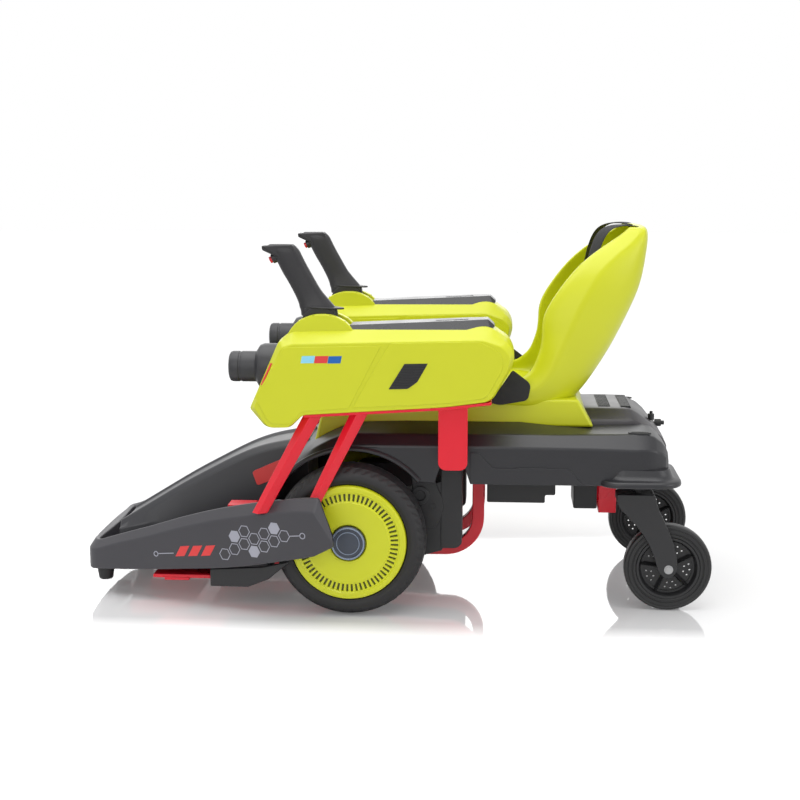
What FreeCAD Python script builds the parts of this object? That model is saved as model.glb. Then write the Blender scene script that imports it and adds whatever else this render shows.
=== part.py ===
import FreeCAD, Part
import math
import os
import Sketcher

# Ride-on drift car: +X is the way it drives, +Y is the child's left, +Z is up.
# The row's origin is on the floor under the middle of the car. Lengths are millimetres.
# Every x in the tables below is measured from the front axle, and axle_x places that axle.

doc = FreeCAD.newDocument("DriftCar")
sheet = doc.addObject("Spreadsheet::Sheet", "Sizes")
sheet.Label = "Sizes"
used_names = []


class Size:
    """A length that is both a number and the sheet formula that it comes from."""

    def __init__(self, text, number):
        self.text = text
        self.number = number

    def __add__(self, other):
        other = as_size(other)
        return Size(f"({self.text} + {other.text})", self.number + other.number)

    def __sub__(self, other):
        other = as_size(other)
        return Size(f"({self.text} - {other.text})", self.number - other.number)

    def __mul__(self, other):
        other = as_size(other)
        return Size(f"({self.text} * {other.text})", self.number * other.number)

    def __truediv__(self, other):
        other = as_size(other)
        return Size(f"({self.text} / {other.text})", self.number / other.number)

    def __neg__(self):
        return Size(f"(0 - {self.text})", -self.number)


def as_size(value):
    if isinstance(value, Size):
        return value
    return Size(repr(float(value)), float(value))


def size(name, value):
    """Write one driving size in the sheet; a Size passes through as the shared value it is."""
    if isinstance(value, Size):
        return value
    row = len(used_names) + 1
    used_names.append(name)
    sheet.set(f"A{row}", name)
    sheet.set(f"B{row}", str(value))
    sheet.setAlias(f"B{row}", name)
    return Size(f"Sizes.{name}", float(value))


def table(prefix, columns, rows):
    """A short table of a piece's points: one sheet cell for each number, named prefix_columnrow."""
    result = []
    for number, row in enumerate(rows, 1):
        result.append([size(f"{prefix}_{column}{number}", value) for column, value in zip(columns, row)])
    return result


def bind(thing, path, value):
    thing.setExpression(path, as_size(value).text)


def new_body(label, x=0, y=0, z=0):
    body = doc.addObject("PartDesign::Body", label)
    body.Label = label
    for axis, value in zip("xyz", (x, y, z)):
        bind(body, f"Placement.Base.{axis}", value)
    return body


def new_sketch(body, name, plane, offset=0):
    """An empty sketch on an origin plane of the body, moved along +X, +Y or +Z by offset."""
    role, sign = {"side": ("XZ_Plane", -1), "front": ("YZ_Plane", 1), "plan": ("XY_Plane", 1)}[plane]
    origin_plane = [item for item in body.Origin.OriginFeatures if item.Role == role][0]
    sketch = body.newObject("Sketcher::SketchObject", name)
    sketch.AttachmentSupport = [(origin_plane, "")]
    sketch.MapMode = "FlatFace"
    bind(sketch, "AttachmentOffset.Base.z", as_size(offset) * sign)
    return sketch


def pin_point(sketch, name, geometry, position, point):
    """Hold a point of the sketch at its two sizes."""
    for kind, value in zip(("DistanceX", "DistanceY"), point):
        value = as_size(value)
        index = sketch.addConstraint(Sketcher.Constraint(kind, -1, 1, geometry, position, value.number))
        label = f"{name}_{kind[-1]}"
        sketch.renameConstraint(index, label)
        sketch.setExpression(f"Constraints.{label}", value.text)


def polygon(body, name, plane, points, offset=0):
    """A closed outline of straight edges: side = (x, z), front = (y, z), plan = (x, y)."""
    sketch = new_sketch(body, name, plane, offset)
    corners = [FreeCAD.Vector(as_size(a).number, as_size(b).number, 0) for a, b in points]
    count = len(corners)
    for index in range(count):
        sketch.addGeometry(Part.LineSegment(corners[index], corners[(index + 1) % count]))
    for index in range(count):
        sketch.addConstraint(Sketcher.Constraint("Coincident", index, 2, (index + 1) % count, 1))
        pin_point(sketch, f"p{index}", index, 1, points[index])
    return sketch


def circles(body, name, plane, rows, offset=0):
    """Round outlines, each row a centre and a radius."""
    sketch = new_sketch(body, name, plane, offset)
    for index, (a, b, radius) in enumerate(rows):
        radius = as_size(radius)
        centre = FreeCAD.Vector(as_size(a).number, as_size(b).number, 0)
        sketch.addGeometry(Part.Circle(centre, FreeCAD.Vector(0, 0, 1), radius.number))
        pin_point(sketch, f"c{index}", index, 3, (a, b))
        constraint = sketch.addConstraint(Sketcher.Constraint("Radius", index, radius.number))
        sketch.renameConstraint(constraint, f"radius{index}")
        sketch.setExpression(f"Constraints.radius{index}", radius.text)
    return sketch


def extrude(body, sketch, length, kind="Pad", both_ways=True, reverse=False):
    """Pad or Pocket of a sketch, centred on its plane unless both_ways is off."""
    feature = body.newObject(f"PartDesign::{kind}", f"{body.Label}_{kind.lower()}")
    feature.Profile = sketch
    bind(feature, "Length", length)
    if both_ways:
        feature.SideType = "Symmetric"
    feature.Reversed = reverse
    sketch.Visibility = False
    return feature


def slab(label, points, y_low, y_high, x=0, y=0, z=0):
    """A body with one side outline, filled from y_low to y_high."""
    body = new_body(label, x, y, z)
    low, high = as_size(y_low), as_size(y_high)
    sketch = polygon(body, f"{label}_outline", "side", points, (low + high) / 2)
    extrude(body, sketch, high - low)
    return body


def revolve(body, sketch, axis):
    feature = body.newObject("PartDesign::Revolution", f"{body.Label}_turn")
    feature.Profile = sketch
    feature.ReferenceAxis = (sketch, [axis])
    feature.Angle = 360
    return feature


def loft(body, sketches):
    feature = body.newObject("PartDesign::AdditiveLoft", f"{body.Label}_loft")
    feature.Profile = sketches[0]
    feature.Sections = sketches[1:]
    feature.Ruled = True
    return feature


def mirrored(source, label):
    """The same piece on the other side of the car."""
    result = doc.addObject("Part::Mirroring", label)
    result.Label = label
    result.Source = source
    result.Normal = FreeCAD.Vector(0, 1, 0)
    return result


def joined(label, kind, pieces):
    """Part::MultiFuse or Part::Compound of finished pieces."""
    result = doc.addObject(kind, label)
    result.Label = label
    if kind == "Part::Compound":
        result.Links = pieces
    else:
        result.Shapes = pieces
    return result


def cut(label, base, tool):
    result = doc.addObject("Part::Cut", label)
    result.Label = label
    result.Base = base
    result.Tool = tool
    return result


def box(name, x_low, x_high, y_low, y_high, z_low, z_high):
    """A plain box from corner to corner, measured like every other piece from the axle."""
    result = doc.addObject("Part::Box", name)
    result.Label = name
    for path, low, high in (("x", x_low, x_high), ("y", y_low, y_high), ("z", z_low, z_high)):
        low, high = as_size(low), as_size(high)
        shift = axle_x if path == "x" else as_size(0)
        bind(result, f"Placement.Base.{path}", low + shift)
        bind(result, {"x": "Length", "y": "Width", "z": "Height"}[path], high - low)
    return result


def round_bar(name, radius, length, x, y, z, along):
    """A cylinder along X, Y or Z that starts at the given point."""
    result = doc.addObject("Part::Cylinder", name)
    result.Label = name
    turn = {"x": ((0, 1, 0), 90), "y": ((1, 0, 0), -90), "z": ((0, 0, 1), 0)}[along]
    result.Placement = FreeCAD.Placement(FreeCAD.Vector(), FreeCAD.Rotation(FreeCAD.Vector(*turn[0]), turn[1]))
    bind(result, "Radius", radius)
    bind(result, "Height", length)
    for axis, value in (("x", as_size(x) + axle_x), ("y", y), ("z", z)):
        bind(result, f"Placement.Base.{axis}", value)
    return result


parts = {}


def keep(piece):
    """Note a finished sub-part, which is written to a file of its own name."""
    parts[piece.Label] = piece
    return piece


def keep_pair(piece, name):
    """One node with the left piece and its twin on the right."""
    twin = mirrored(piece, f"{name}_twin")
    return keep(joined(name, "Part::Compound", [piece, twin]))


# Sizes shared by several pieces. Heights stand on the wheels: hub, tyre, arch, then the deck.
axle_x = size("axle_x", 66)
axle_radius = size("axle_radius", 6)
running_gap = size("running_gap", 0.05)
moving_gap = size("moving_gap", 5)
hub_radius = size("hub_radius", 102)
tyre_radius = hub_radius + size("tyre_depth", 33)
arch_radius = tyre_radius + size("arch_gap", 21)
fender_wall = size("fender_wall", 12)
fender_radius = arch_radius + fender_wall
deck_z = tyre_radius + arch_radius + size("deck_over_arch", 31)
skirt_z = deck_z - size("skirt_depth", 92)
frame_z = skirt_z + size("rear_frame_inset", 10)
floor_z = size("foot_floor_height", 62)
floor_thick = size("foot_floor_thickness", 8)
tube = size("frame_tube", 22)
rail_y = size("rail_offset", 80)
wheel_y = size("wheel_offset", 237)
tyre_width = size("tyre_width", 76)
hub_face = tyre_width / 2 + size("hub_stand_out", 5)
cap_face = hub_face + size("cap_stand_out", 4)
body_half = wheel_y - size("body_inset", 12)
skirt_wall = size("skirt_wall", 14)
pod_y = wheel_y - size("pod_inset", 12)
pod_half = size("pod_half_width", 60)
deck_front = size("deck_front", 10)
seat_half = pod_y - pod_half - size("seat_side_gap", 5)
tub_half = seat_half - size("seat_over_tub", 10)
tub_top = size("tub_height", 51)


def front_wheels():
    """Tyre, spoked hub and cap: each is turned about the axle."""
    cap_radius = size("cap_radius", 30)
    tread_edge = size("tread_edge", 11)
    bead_width = size("bead_inset", 8)
    cap_seat = size("cap_seat_depth", 6)
    web = size("hub_web_thickness", 9)
    back_rim = size("hub_back_rim", 14)
    half = tyre_width / 2
    tyre = new_body("tyre_left", axle_x, wheel_y, tyre_radius)
    section = polygon(tyre, "tyre_section", "front", [
        (-half + bead_width, hub_radius),
        (-half, hub_radius + bead_width),
        (-half, tyre_radius - tread_edge * 2),
        (-half + tread_edge, tyre_radius - tread_edge * 0.45),
        (-half + tread_edge * 2, tyre_radius),
        (half - tread_edge * 2, tyre_radius),
        (half - tread_edge, tyre_radius - tread_edge * 0.45),
        (half, tyre_radius - tread_edge * 2),
        (half, hub_radius + bead_width),
        (half - bead_width, hub_radius),
    ])
    revolve(tyre, section, "H_Axis")
    hub = new_body("hub_left", axle_x, wheel_y, tyre_radius)
    bore = axle_radius + running_gap
    section = polygon(hub, "hub_section", "front", [
        (-half + bead_width, bore),
        (-half + bead_width, axle_radius * 3),
        (hub_face - web, axle_radius * 3),
        (hub_face - web, hub_radius - back_rim),
        (-half + bead_width, hub_radius - back_rim),
        (-half + bead_width, hub_radius),
        (half - bead_width, hub_radius),
        (hub_face - web / 2, hub_radius),
        (hub_face, hub_radius - web / 2),
        (hub_face, cap_radius),
        (hub_face - cap_seat, cap_radius),
        (hub_face - cap_seat, bore),
    ])
    revolve(hub, section, "H_Axis")
    cap = new_body("hub_cap_left", axle_x, wheel_y, tyre_radius)
    section = polygon(cap, "cap_section", "front", [
        (hub_face - cap_seat / 2, 0),
        (hub_face - cap_seat / 2, cap_radius / 2),
        (hub_face - cap_seat, cap_radius / 2),
        (hub_face - cap_seat, cap_radius),
        (cap_face - 2, cap_radius),
        (cap_face, cap_radius - 2),
        (cap_face, 0),
    ])
    revolve(cap, section, "H_Axis")
    for piece in (tyre, hub, cap):
        keep(piece)
        keep(mirrored(piece, piece.Label.replace("left", "right")))


def drive():
    """Stub axles, the two motor housings that carry them, and the beam between the housings."""
    housing_out = wheel_y - tyre_width / 2 - size("housing_wheel_gap", 11)
    housing_y = housing_out - size("housing_width", 60)
    beam_half = size("axle_beam_half", 15)
    outline = table("housing", "xz", [
        (58, 150), (48, 92), (0, 70), (-80, 76), (-195, 100), (-195, skirt_z), (-148, skirt_z), (-70, 196), (20, 192),
    ])
    housing = slab("motor_housing", outline, housing_y, housing_out, axle_x)
    bore = circles(housing, "axle_bore", "side", [(0, tyre_radius, axle_radius)], housing_out)
    extrude(housing, bore, (housing_out - housing_y) * 2, "Pocket")
    keep_pair(housing, "motor_housings")
    reach = wheel_y + hub_face - housing_y - size("axle_end_inset", 9)
    axle = round_bar("axle", axle_radius, reach, 0, housing_y, tyre_radius, "y")
    keep_pair(axle, "axles")
    beam = box("axle_tube", -beam_half, beam_half, -housing_y, housing_y,
               tyre_radius - beam_half, tyre_radius + beam_half)
    posts = []
    for name, centre in (("left_post", rail_y), ("right_post", -rail_y)):
        posts.append(box(name, -beam_half, beam_half, centre - tube / 2, centre + tube / 2,
                         floor_z, tyre_radius))
    keep(joined("axle_beam", "Part::MultiFuse", [beam] + posts))


def frame():
    """Welded steel: two J-shaped rails, the bar that holds the casters, and the drilled bar under the nose."""
    rail_front = size("rail_front", 440)
    rise_x = size("rail_rise", -235)
    crook = size("rail_crook", 34)
    bar_x = size("caster_bar", -508)
    bar_half = size("caster_bar_half", 18)
    bar_reach = body_half - skirt_wall - size("caster_bar_end_gap", 5)
    low = floor_z - tube
    top = frame_z + tube
    outline = [
        (rail_front, low), (rail_front, floor_z), (rise_x + tube + crook / 2, floor_z),
        (rise_x + tube, floor_z + crook / 2), (rise_x + tube, top), (bar_x + bar_half, top),
        (bar_x + bar_half, frame_z), (rise_x, frame_z), (rise_x, low + crook), (rise_x + crook, low),
    ]
    keep_pair(slab("rail", outline, rail_y - tube / 2, rail_y + tube / 2, axle_x), "frame_rails")
    stem_y = bar_reach - size("caster_bar_over_stem", 21)
    boss = size("stem_boss_radius", 15)
    fork_top = frame_z - size("fork_drop", 27)
    bar = new_body("caster_bar_body", axle_x)
    sketch = polygon(bar, "bar_outline", "side", [
        (bar_x - bar_half, frame_z), (bar_x - bar_half, top), (bar_x + bar_half, top), (bar_x + bar_half, frame_z),
    ])
    extrude(bar, sketch, bar_reach * 2)
    stems = [(bar_x, stem_y, boss), (bar_x, -stem_y, boss)]
    sketch = circles(bar, "boss_outline", "plan", stems, fork_top + moving_gap)
    extrude(bar, sketch, top - fork_top - moving_gap, both_ways=False)
    bores = [(bar_x, stem_y, axle_radius + running_gap), (bar_x, -stem_y, axle_radius + running_gap)]
    sketch = circles(bar, "stem_bores", "plan", bores, fork_top)
    extrude(bar, sketch, (top - fork_top) * 3, "Pocket")
    bar.Label = "caster_bar"
    keep(bar)
    under_x = size("under_bar", 300)
    under_half = size("under_bar_half", 16)
    under_reach = size("under_bar_reach", 150)
    under_thick = size("under_bar_thickness", 4)
    hole = size("under_bar_hole_radius", 5)
    pitch = size("under_bar_pitch", 50)
    plate = new_body("drilled_bar", axle_x, 0, low - under_thick)
    sketch = polygon(plate, "plate_outline", "plan", [
        (under_x - under_half, -under_reach), (under_x + under_half, -under_reach),
        (under_x + under_half, under_reach), (under_x - under_half, under_reach),
    ])
    extrude(plate, sketch, under_thick, both_ways=False)
    holes = [(under_x, pitch * step, hole) for step in (-2.5, -0.5, 0.5, 2.5)]
    extrude(plate, circles(plate, "holes", "plan", holes), under_thick * 3, "Pocket")
    keep(plate)
    return bar_x, stem_y, fork_top, low


def tail_bracket():
    """The red U-shaped hanger between the caster forks."""
    front = size("hanger_front", -449)
    back = size("hanger_back", -482)
    half = size("hanger_half", 45)
    wall = size("hanger_wall", 5)
    bottom = size("hanger_bottom", 140)
    ceiling = frame_z + tube
    hanger = slab("tail_hanger", [(back, bottom), (back, ceiling), (front, ceiling), (front, bottom)],
                  -half, half, axle_x)
    inside = polygon(hanger, "hanger_inside", "front", [
        (-half + wall, bottom + wall), (half - wall, bottom + wall), (half - wall, ceiling), (-half + wall, ceiling),
    ], front)
    extrude(hanger, inside, (front - back) * 3, "Pocket")
    keep(hanger)


def power_boxes():
    """The battery and the controller that hang under the rear rails."""
    battery_half = size("battery_half", 102)
    keep(slab("battery_box", table("battery", "xz", [
        (-366, 185), (-366, frame_z), (-240, frame_z), (-240, 170), (-347, 170), (-347, 185),
    ]), -battery_half, battery_half, axle_x))
    half = size("controller_half", 48)
    keep(slab("controller_box", table("controller", "xz", [
        (-446, 148), (-446, frame_z + tube), (-402, frame_z + tube), (-402, 148),
    ]), -half, half, axle_x))


# Fork outline: distance ahead of the stem, and the share of the way up from the bolt to the fork's top
FORK = (
    (38, 1), (36, 0.81), (12, 0.67), (-8, 0.5), (-22, 0.35), (-31, 0.18), (-38, 0.03), (-48, -0.1),
    (-62, -0.1), (-71, 0), (-71, 0.11), (-62, 0.41), (-50, 0.61), (-32, 0.83), (-28, 1),
)


def casters(stem_x, stem_y, fork_top):
    """Trailing forks on upright stems, each with a bolt and a wheel that turns on it."""
    trail = size("caster_trail", 56)
    radius = tyre_radius - size("caster_below_tyre", 57)
    width = size("caster_width", 30)
    rim = radius - size("caster_tyre_depth", 22)
    blade = size("fork_blade", 6)
    blade_gap = size("fork_wheel_gap", 3)
    crown = size("fork_crown_thickness", 14)
    bolt_head = size("bolt_head_radius", 9)
    bolt_head_thick = size("bolt_head_thickness", 4)
    hub_width = size("caster_hub_width", 34)
    eye = size("fork_eye_radius", 17)
    inner = hub_width / 2 + blade_gap / 3
    outer = inner + blade
    fork = new_body("caster_fork_body", axle_x + stem_x, stem_y)
    top = fork_top
    profile = [(ahead, radius + (top - radius) * share) for ahead, share in FORK]
    extrude(fork, polygon(fork, "fork_outline", "side", profile), outer * 2)
    slot = polygon(fork, "wheel_slot", "side", [
        (60, 0), (60, top - crown - 22), (-30, top - crown), (-trail - radius, top - crown), (-trail - radius, 0),
    ])
    extrude(fork, slot, inner * 2, "Pocket")
    stem = circles(fork, "stem", "plan", [(0, 0, axle_radius)], top - crown / 2)
    extrude(fork, stem, frame_z + tube - top + crown / 2, both_ways=False)
    eyes = circles(fork, "eye", "side", [(-trail, radius, axle_radius)])
    extrude(fork, eyes, outer * 3, "Pocket")
    fork.Label = "caster_fork_left"
    reach = outer + bolt_head_thick
    bolt = new_body("caster_bolt_left", axle_x + stem_x - trail, stem_y, radius)
    section = polygon(bolt, "bolt_section", "front", [
        (-reach, 0), (-reach, bolt_head), (-outer, bolt_head), (-outer, axle_radius),
        (outer, axle_radius), (outer, bolt_head), (reach, bolt_head), (reach, 0),
    ])
    revolve(bolt, section, "H_Axis")
    tyre = new_body("caster_tyre_left", axle_x + stem_x - trail, stem_y, radius)
    half = width / 2
    edge = size("caster_tyre_edge", 7)
    section = polygon(tyre, "caster_tyre_section", "front", [
        (-half, rim), (-half, radius - edge), (-half + edge, radius),
        (half - edge, radius), (half, radius - edge), (half, rim),
    ])
    revolve(tyre, section, "H_Axis")
    wheel = new_body("caster_rim_left", axle_x + stem_x - trail, stem_y, radius)
    hub_half = hub_width / 2
    hub = size("caster_hub_radius", 15)
    web = size("caster_web", 8)
    flange = size("caster_flange", 8)
    bore = axle_radius + running_gap
    section = polygon(wheel, "caster_rim_section", "front", [
        (-hub_half, bore), (-hub_half, hub), (-web / 2, hub), (-web / 2, rim - flange),
        (-half, rim - flange), (-half, rim), (half, rim), (half, rim - flange),
        (web / 2, rim - flange), (web / 2, hub), (hub_half, hub), (hub_half, bore),
    ])
    revolve(wheel, section, "H_Axis")
    for piece in (fork, bolt, tyre, wheel):
        keep(piece)
        keep(mirrored(piece, piece.Label.replace("left", "right")))


def guard(low):
    """The nose rim with its two arms, the foot floor, and the panels and feet below."""
    corner_x = size("nose_corner", 494)
    corner_y = wheel_y - size("nose_inset", 75)
    arm_turn = size("arm_turn", 159.4)
    rim = size("rim_width", 45)
    bow = size("nose_bow", 16)
    # One row for each place along the arm: run from the nose, then the heights of its edges.
    stations = table("arm", ("run", "low", "ridge", "top"), [
        (0, 47, 83, 97), (137, 58, 120, 134), (252, 72, 159, 173), (360, 88, 184, 198),
        (454, 117, 197, 210), (478, 126, 189, 203), (508, 150, 156, 160),
    ])
    arm = new_body("arm_body", axle_x + corner_x, corner_y)
    arm.Placement.Rotation = FreeCAD.Rotation(FreeCAD.Vector(0, 0, 1), arm_turn.number)
    arm.setExpression("Placement.Rotation.Angle", f"{arm_turn.text} * 1 deg")
    sections = []
    for number, (run, bottom, ridge, top) in enumerate(stations, 1):
        sections.append(polygon(arm, f"arm_section{number}", "front",
                                [(0, bottom), (0, ridge), (rim, top), (rim, bottom)], run))
    loft(arm, sections)
    wheel_room = round_bar("wheel_room", tyre_radius + moving_gap + 1, wheel_y + cap_face + moving_gap - 150,
                           0, 150, tyre_radius, "y")
    clear_arm = cut("guard_arm", arm, wheel_room)
    return corner_x, corner_y, rim, bow, stations, clear_arm, arm_turn


def nose(corner_x, corner_y, rim, bow, stations, arm_turn):
    """The nose rim: a straight-edged loft from one arm's end through the middle to the other's."""
    angle = math.radians(arm_turn.number)
    run, bottom, ridge, top = [value.number for value in stations[0]]
    inward = (-math.sin(angle) * rim.number, math.cos(angle) * rim.number)
    ends = []
    for side in (1, 0, -1):
        x, y = corner_x.number, corner_y.number * side
        inner_x, inner_y = x + inward[0], (corner_y.number + inward[1]) * side
        if side == 0:
            x, inner_x = x + bow.number, x + bow.number - rim.number
            inner_y = 0
        points = [(x, y, bottom), (x, y, ridge), (inner_x, inner_y, top), (inner_x, inner_y, bottom)]
        ends.append(Part.makePolygon([FreeCAD.Vector(*point) for point in points + points[:1]]))
    rim_piece = doc.addObject("Part::Feature", "nose_rim")
    rim_piece.Label = "nose_rim"
    rim_piece.Shape = Part.makeLoft(ends, True, True)
    bind(rim_piece, "Placement.Base.x", axle_x)
    return keep(rim_piece)


def front_floor(corner_x, corner_y, rim, bow, stations, arm_turn, low):
    """Foot floor on the rails, the ridge between the feet, side panels under the arms, and the feet."""
    angle = math.radians(arm_turn.number)
    back = size("floor_back", 150)
    front = corner_x + bow - rim
    lean = size("arm_lean", round(-math.tan(angle), 6))
    inner_x = corner_x - rim * round(math.sin(angle), 6)
    inner_y = corner_y + rim * round(math.cos(angle), 6)
    side_front = inner_y
    side_back = inner_y + (inner_x - back) * lean
    floor = new_body("foot_floor", axle_x, 0, floor_z)
    sketch = polygon(floor, "floor_outline", "plan", [
        (inner_x, side_front), (back, side_back), (back, -side_back), (inner_x, -side_front), (front, 0),
    ])
    extrude(floor, sketch, floor_thick, both_ways=False)
    keep(floor)
    top = floor_z + floor_thick
    crest = size("fairing_crest_half", 60)
    foot = size("fairing_foot_half", 84)
    fairing = new_body("centre_fairing", axle_x)
    sections = []
    rows = table("fairing", "xz", [
        (463, 112), (331, 197), (227, 251), (176, 268), (fender_radius, 270),
    ])
    for number, (x, z) in enumerate(rows, 1):
        sections.append(polygon(fairing, f"fairing_section{number}", "front",
                                [(-foot, top), (-crest, z), (crest, z), (foot, top)], x))
    loft(fairing, sections)
    keep(fairing)
    panel_in = size("side_panel_in", 12)
    panel_thick = size("side_panel_thickness", 8)
    panel = new_body("side_panel_body", axle_x + corner_x, corner_y)
    panel.Placement.Rotation = FreeCAD.Rotation(FreeCAD.Vector(0, 0, 1), arm_turn.number)
    panel.setExpression("Placement.Rotation.Angle", f"{arm_turn.text} * 1 deg")
    sketch = polygon(panel, "side_panel_outline", "side", [
        (stations[2][0], low), (stations[2][0], stations[2][1]), (stations[3][0], stations[3][1]),
        (stations[4][0] - 40, stations[4][1] - 13), (stations[3][0] + 10, low + 26), (stations[3][0] - 30, low + 8),
    ], panel_in + panel_thick / 2)
    extrude(panel, sketch, panel_thick)
    keep_pair(panel, "side_panels")
    foot_x = size("nose_foot", 469)
    foot_y = size("nose_foot_offset", 148)
    foot_low = size("nose_foot_height", 25)
    foot_top_radius = size("nose_foot_top_radius", 16)
    foot_end_radius = size("nose_foot_end_radius", 13)
    feet = []
    for name, x, y in (("left", foot_x, foot_y), ("middle", foot_x + bow / 2, as_size(0)), ("right", foot_x, -foot_y)):
        cone = doc.addObject("Part::Cone", f"{name}_foot")
        bind(cone, "Radius1", foot_end_radius)
        bind(cone, "Radius2", foot_top_radius)
        bind(cone, "Height", stations[0][1] - foot_low)
        for axis, value in (("x", x + axle_x), ("y", y), ("z", foot_low)):
            bind(cone, f"Placement.Base.{axis}", value)
        feet.append(cone)
    keep(joined("nose_feet", "Part::Compound", feet))


# Points of the fender's outer curve, as shares of its radius forward of and above the axle
FENDER = ((0.45, 0.893), (0.743, 0.669), (0.917, 0.375))


def lower_body(stem_x, stem_y):
    """The grey deck: full-width wheel arch at the front, skirt, and round lips over the casters."""
    back = size("body_back", -562)
    chamfer = size("deck_chamfer", 31)
    side_chamfer = size("side_chamfer", 14)
    room_front = size("under_room_front", -211)
    lip_radius = size("lip_radius", 72)
    lip_thick = size("lip_thickness", 14)
    lip_in = size("lip_inset", 12)
    wall = skirt_wall
    front = fender_radius
    fender = [(fender_radius * across, tyre_radius + fender_radius * up) for across, up in FENDER]
    body = new_body("lower_body", axle_x)
    outline = [
        (back, skirt_z), (back, deck_z - chamfer), (back + chamfer, deck_z), (deck_front, deck_z),
        fender[0], fender[1], fender[2], (front, tyre_radius), (front, floor_z + floor_thick),
        (arch_radius * 0.9, floor_z + floor_thick), (arch_radius * 0.6, tyre_radius), (-arch_radius * 0.6, tyre_radius + arch_radius * 0.4),
        (-arch_radius * 0.8, skirt_z),
    ]
    extrude(body, polygon(body, "body_outline", "side", outline), body_half * 2)
    arch = circles(body, "arch", "side", [(0, tyre_radius, arch_radius)])
    extrude(body, arch, body_half * 3, "Pocket")
    room = polygon(body, "under_room", "side", [
        (room_front, 0), (room_front, frame_z + tube), (back + wall, frame_z + tube), (back + wall, 0),
    ])
    extrude(body, room, (body_half - wall) * 2, "Pocket")
    for name, side in (("left", 1), ("right", -1)):
        edge = polygon(body, f"{name}_edge", "front", [
            ((body_half - side_chamfer) * side, deck_z + 1),
            ((body_half + 1) * side, deck_z + 1),
            ((body_half + 1) * side, deck_z - side_chamfer * 1.6),
        ])
        extrude(body, edge, (front - back) * 2, "Pocket")
    lips = [(stem_x, stem_y - lip_in, lip_radius), (stem_x, -stem_y + lip_in, lip_radius)]
    lip = circles(body, "lips", "plan", lips, skirt_z)
    extrude(body, lip, lip_thick, both_ways=False)
    lip_room = polygon(body, "lip_room", "side", [
        (room_front, 0), (room_front, skirt_z + lip_thick + 1), (back + wall, skirt_z + lip_thick + 1),
        (back + wall, 0),
    ])
    extrude(body, lip_room, (body_half - wall) * 2, "Pocket")
    return body, back, chamfer


def seat_and_tub(back, chamfer):
    """The lime seat base on the deck, the bucket seat on it, and the hump behind."""
    tip_x = fender_radius * FENDER[0][0]
    tip_z = tyre_radius + fender_radius * FENDER[0][1] - deck_z
    tub_back = size("tub_back", -431)
    tub_rake = size("tub_back_rake", 29)
    tub = slab("cockpit_tub", [
        (tip_x, tip_z), (62, 18), (20, 40), (-60, tub_top), (tub_back + tub_rake, tub_top), (tub_back, 0), (deck_front, 0),
    ], -tub_half, tub_half, axle_x, 0, deck_z)
    keep(tub)
    half = seat_half
    seat_long = size("seat_cut_length", 1200)
    wall = size("seat_wall", 14)
    seat = new_body("seat_body", axle_x, 0, deck_z)
    outline = table("seat", "xz", [
        (-472, 361), (-502, 364), (-512, 349), (-505, 271), (-472, 184), (-401, 50), (-382, 32), (-350, 17),
        (-326, tub_top), (-60, tub_top), (-54, 70), (-240, 74), (-294, 79), (-328, 101), (-348, 113), (-338, 142),
        (-332, 171), (-344, 208), (-372, 251), (-406, 295),
    ])
    extrude(seat, polygon(seat, "seat_outline", "side", outline), half * 2)
    hollow = table("bucket", "xz", [
        (-486, 346), (-492, 333), (-487, 276), (-454, 190), (-384, 70), (-366, 65), (-40, 65),
        (-40, 378), (-440, 378), (-462, 348),
    ])
    extrude(seat, polygon(seat, "bucket_hollow", "side", hollow), (half - wall) * 2, "Pocket")
    under = polygon(seat, "tub_room", "side", [(-450, -20), (-450, tub_top), (0, tub_top), (0, -20)])
    extrude(seat, under, tub_half * 2, "Pocket")
    for name, side in (("left", 1), ("right", -1)):
        corner = polygon(seat, f"{name}_shoulder", "front", [
            ((half + 1) * side, 378), ((half - 62) * side, 378), ((half - 44) * side, 346), ((half + 1) * side, 268),
        ])
        extrude(seat, corner, seat_long, "Pocket")
    seat.Label = "seat_shell"
    keep(seat)
    cover_half = size("rear_cover_half", 112)
    crown = size("rear_cover_height", 35)
    cover = slab("rear_cover", [
        (tub_back, 0), (tub_back + tub_rake * crown / tub_top, crown), (-487, crown), (-506, 28), (-526, 13),
        (-546, -5), (back - 6, -chamfer), (back, -chamfer), (back + chamfer, 0),
    ], -cover_half, cover_half, axle_x, 0, deck_z)
    keep(cover)
    belt_gap = size("belt_gap", 0.3)
    belt_thick = size("belt_thickness", 3)
    belt = table("lap_belt", "xz", [(-284, 105), (-317, 78), (-312, 49), (-262, 41), (-244, 45)])
    keep_pair(slab("lap_belt_side", belt, half + belt_gap, half + belt_gap + belt_thick, axle_x, 0, deck_z), "lap_belts")
    strap_y = size("strap_offset", 60)
    strap_half = size("strap_half_width", 19)
    path = table("strap", "xz", [(-500, 364.3), (-470, 362), (-446, 354), (-417, 280), (-394, 198), (-384, 138), (-380, 72)])
    above = [(x - 2.4, z - belt_thick * 0.6) for x, z in path[2:]]
    lift = [(x, z + belt_thick) for x, z in path[:2]]
    points = lift + [(x + 0.6, z + belt_thick * 0.5) for x, z in path[2:]] + above[::-1] + [path[1], path[0]]
    keep_pair(slab("shoulder_strap", points, strap_y - strap_half, strap_y + strap_half, axle_x, 0, deck_z), "shoulder_straps")
    return cover, crown


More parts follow.
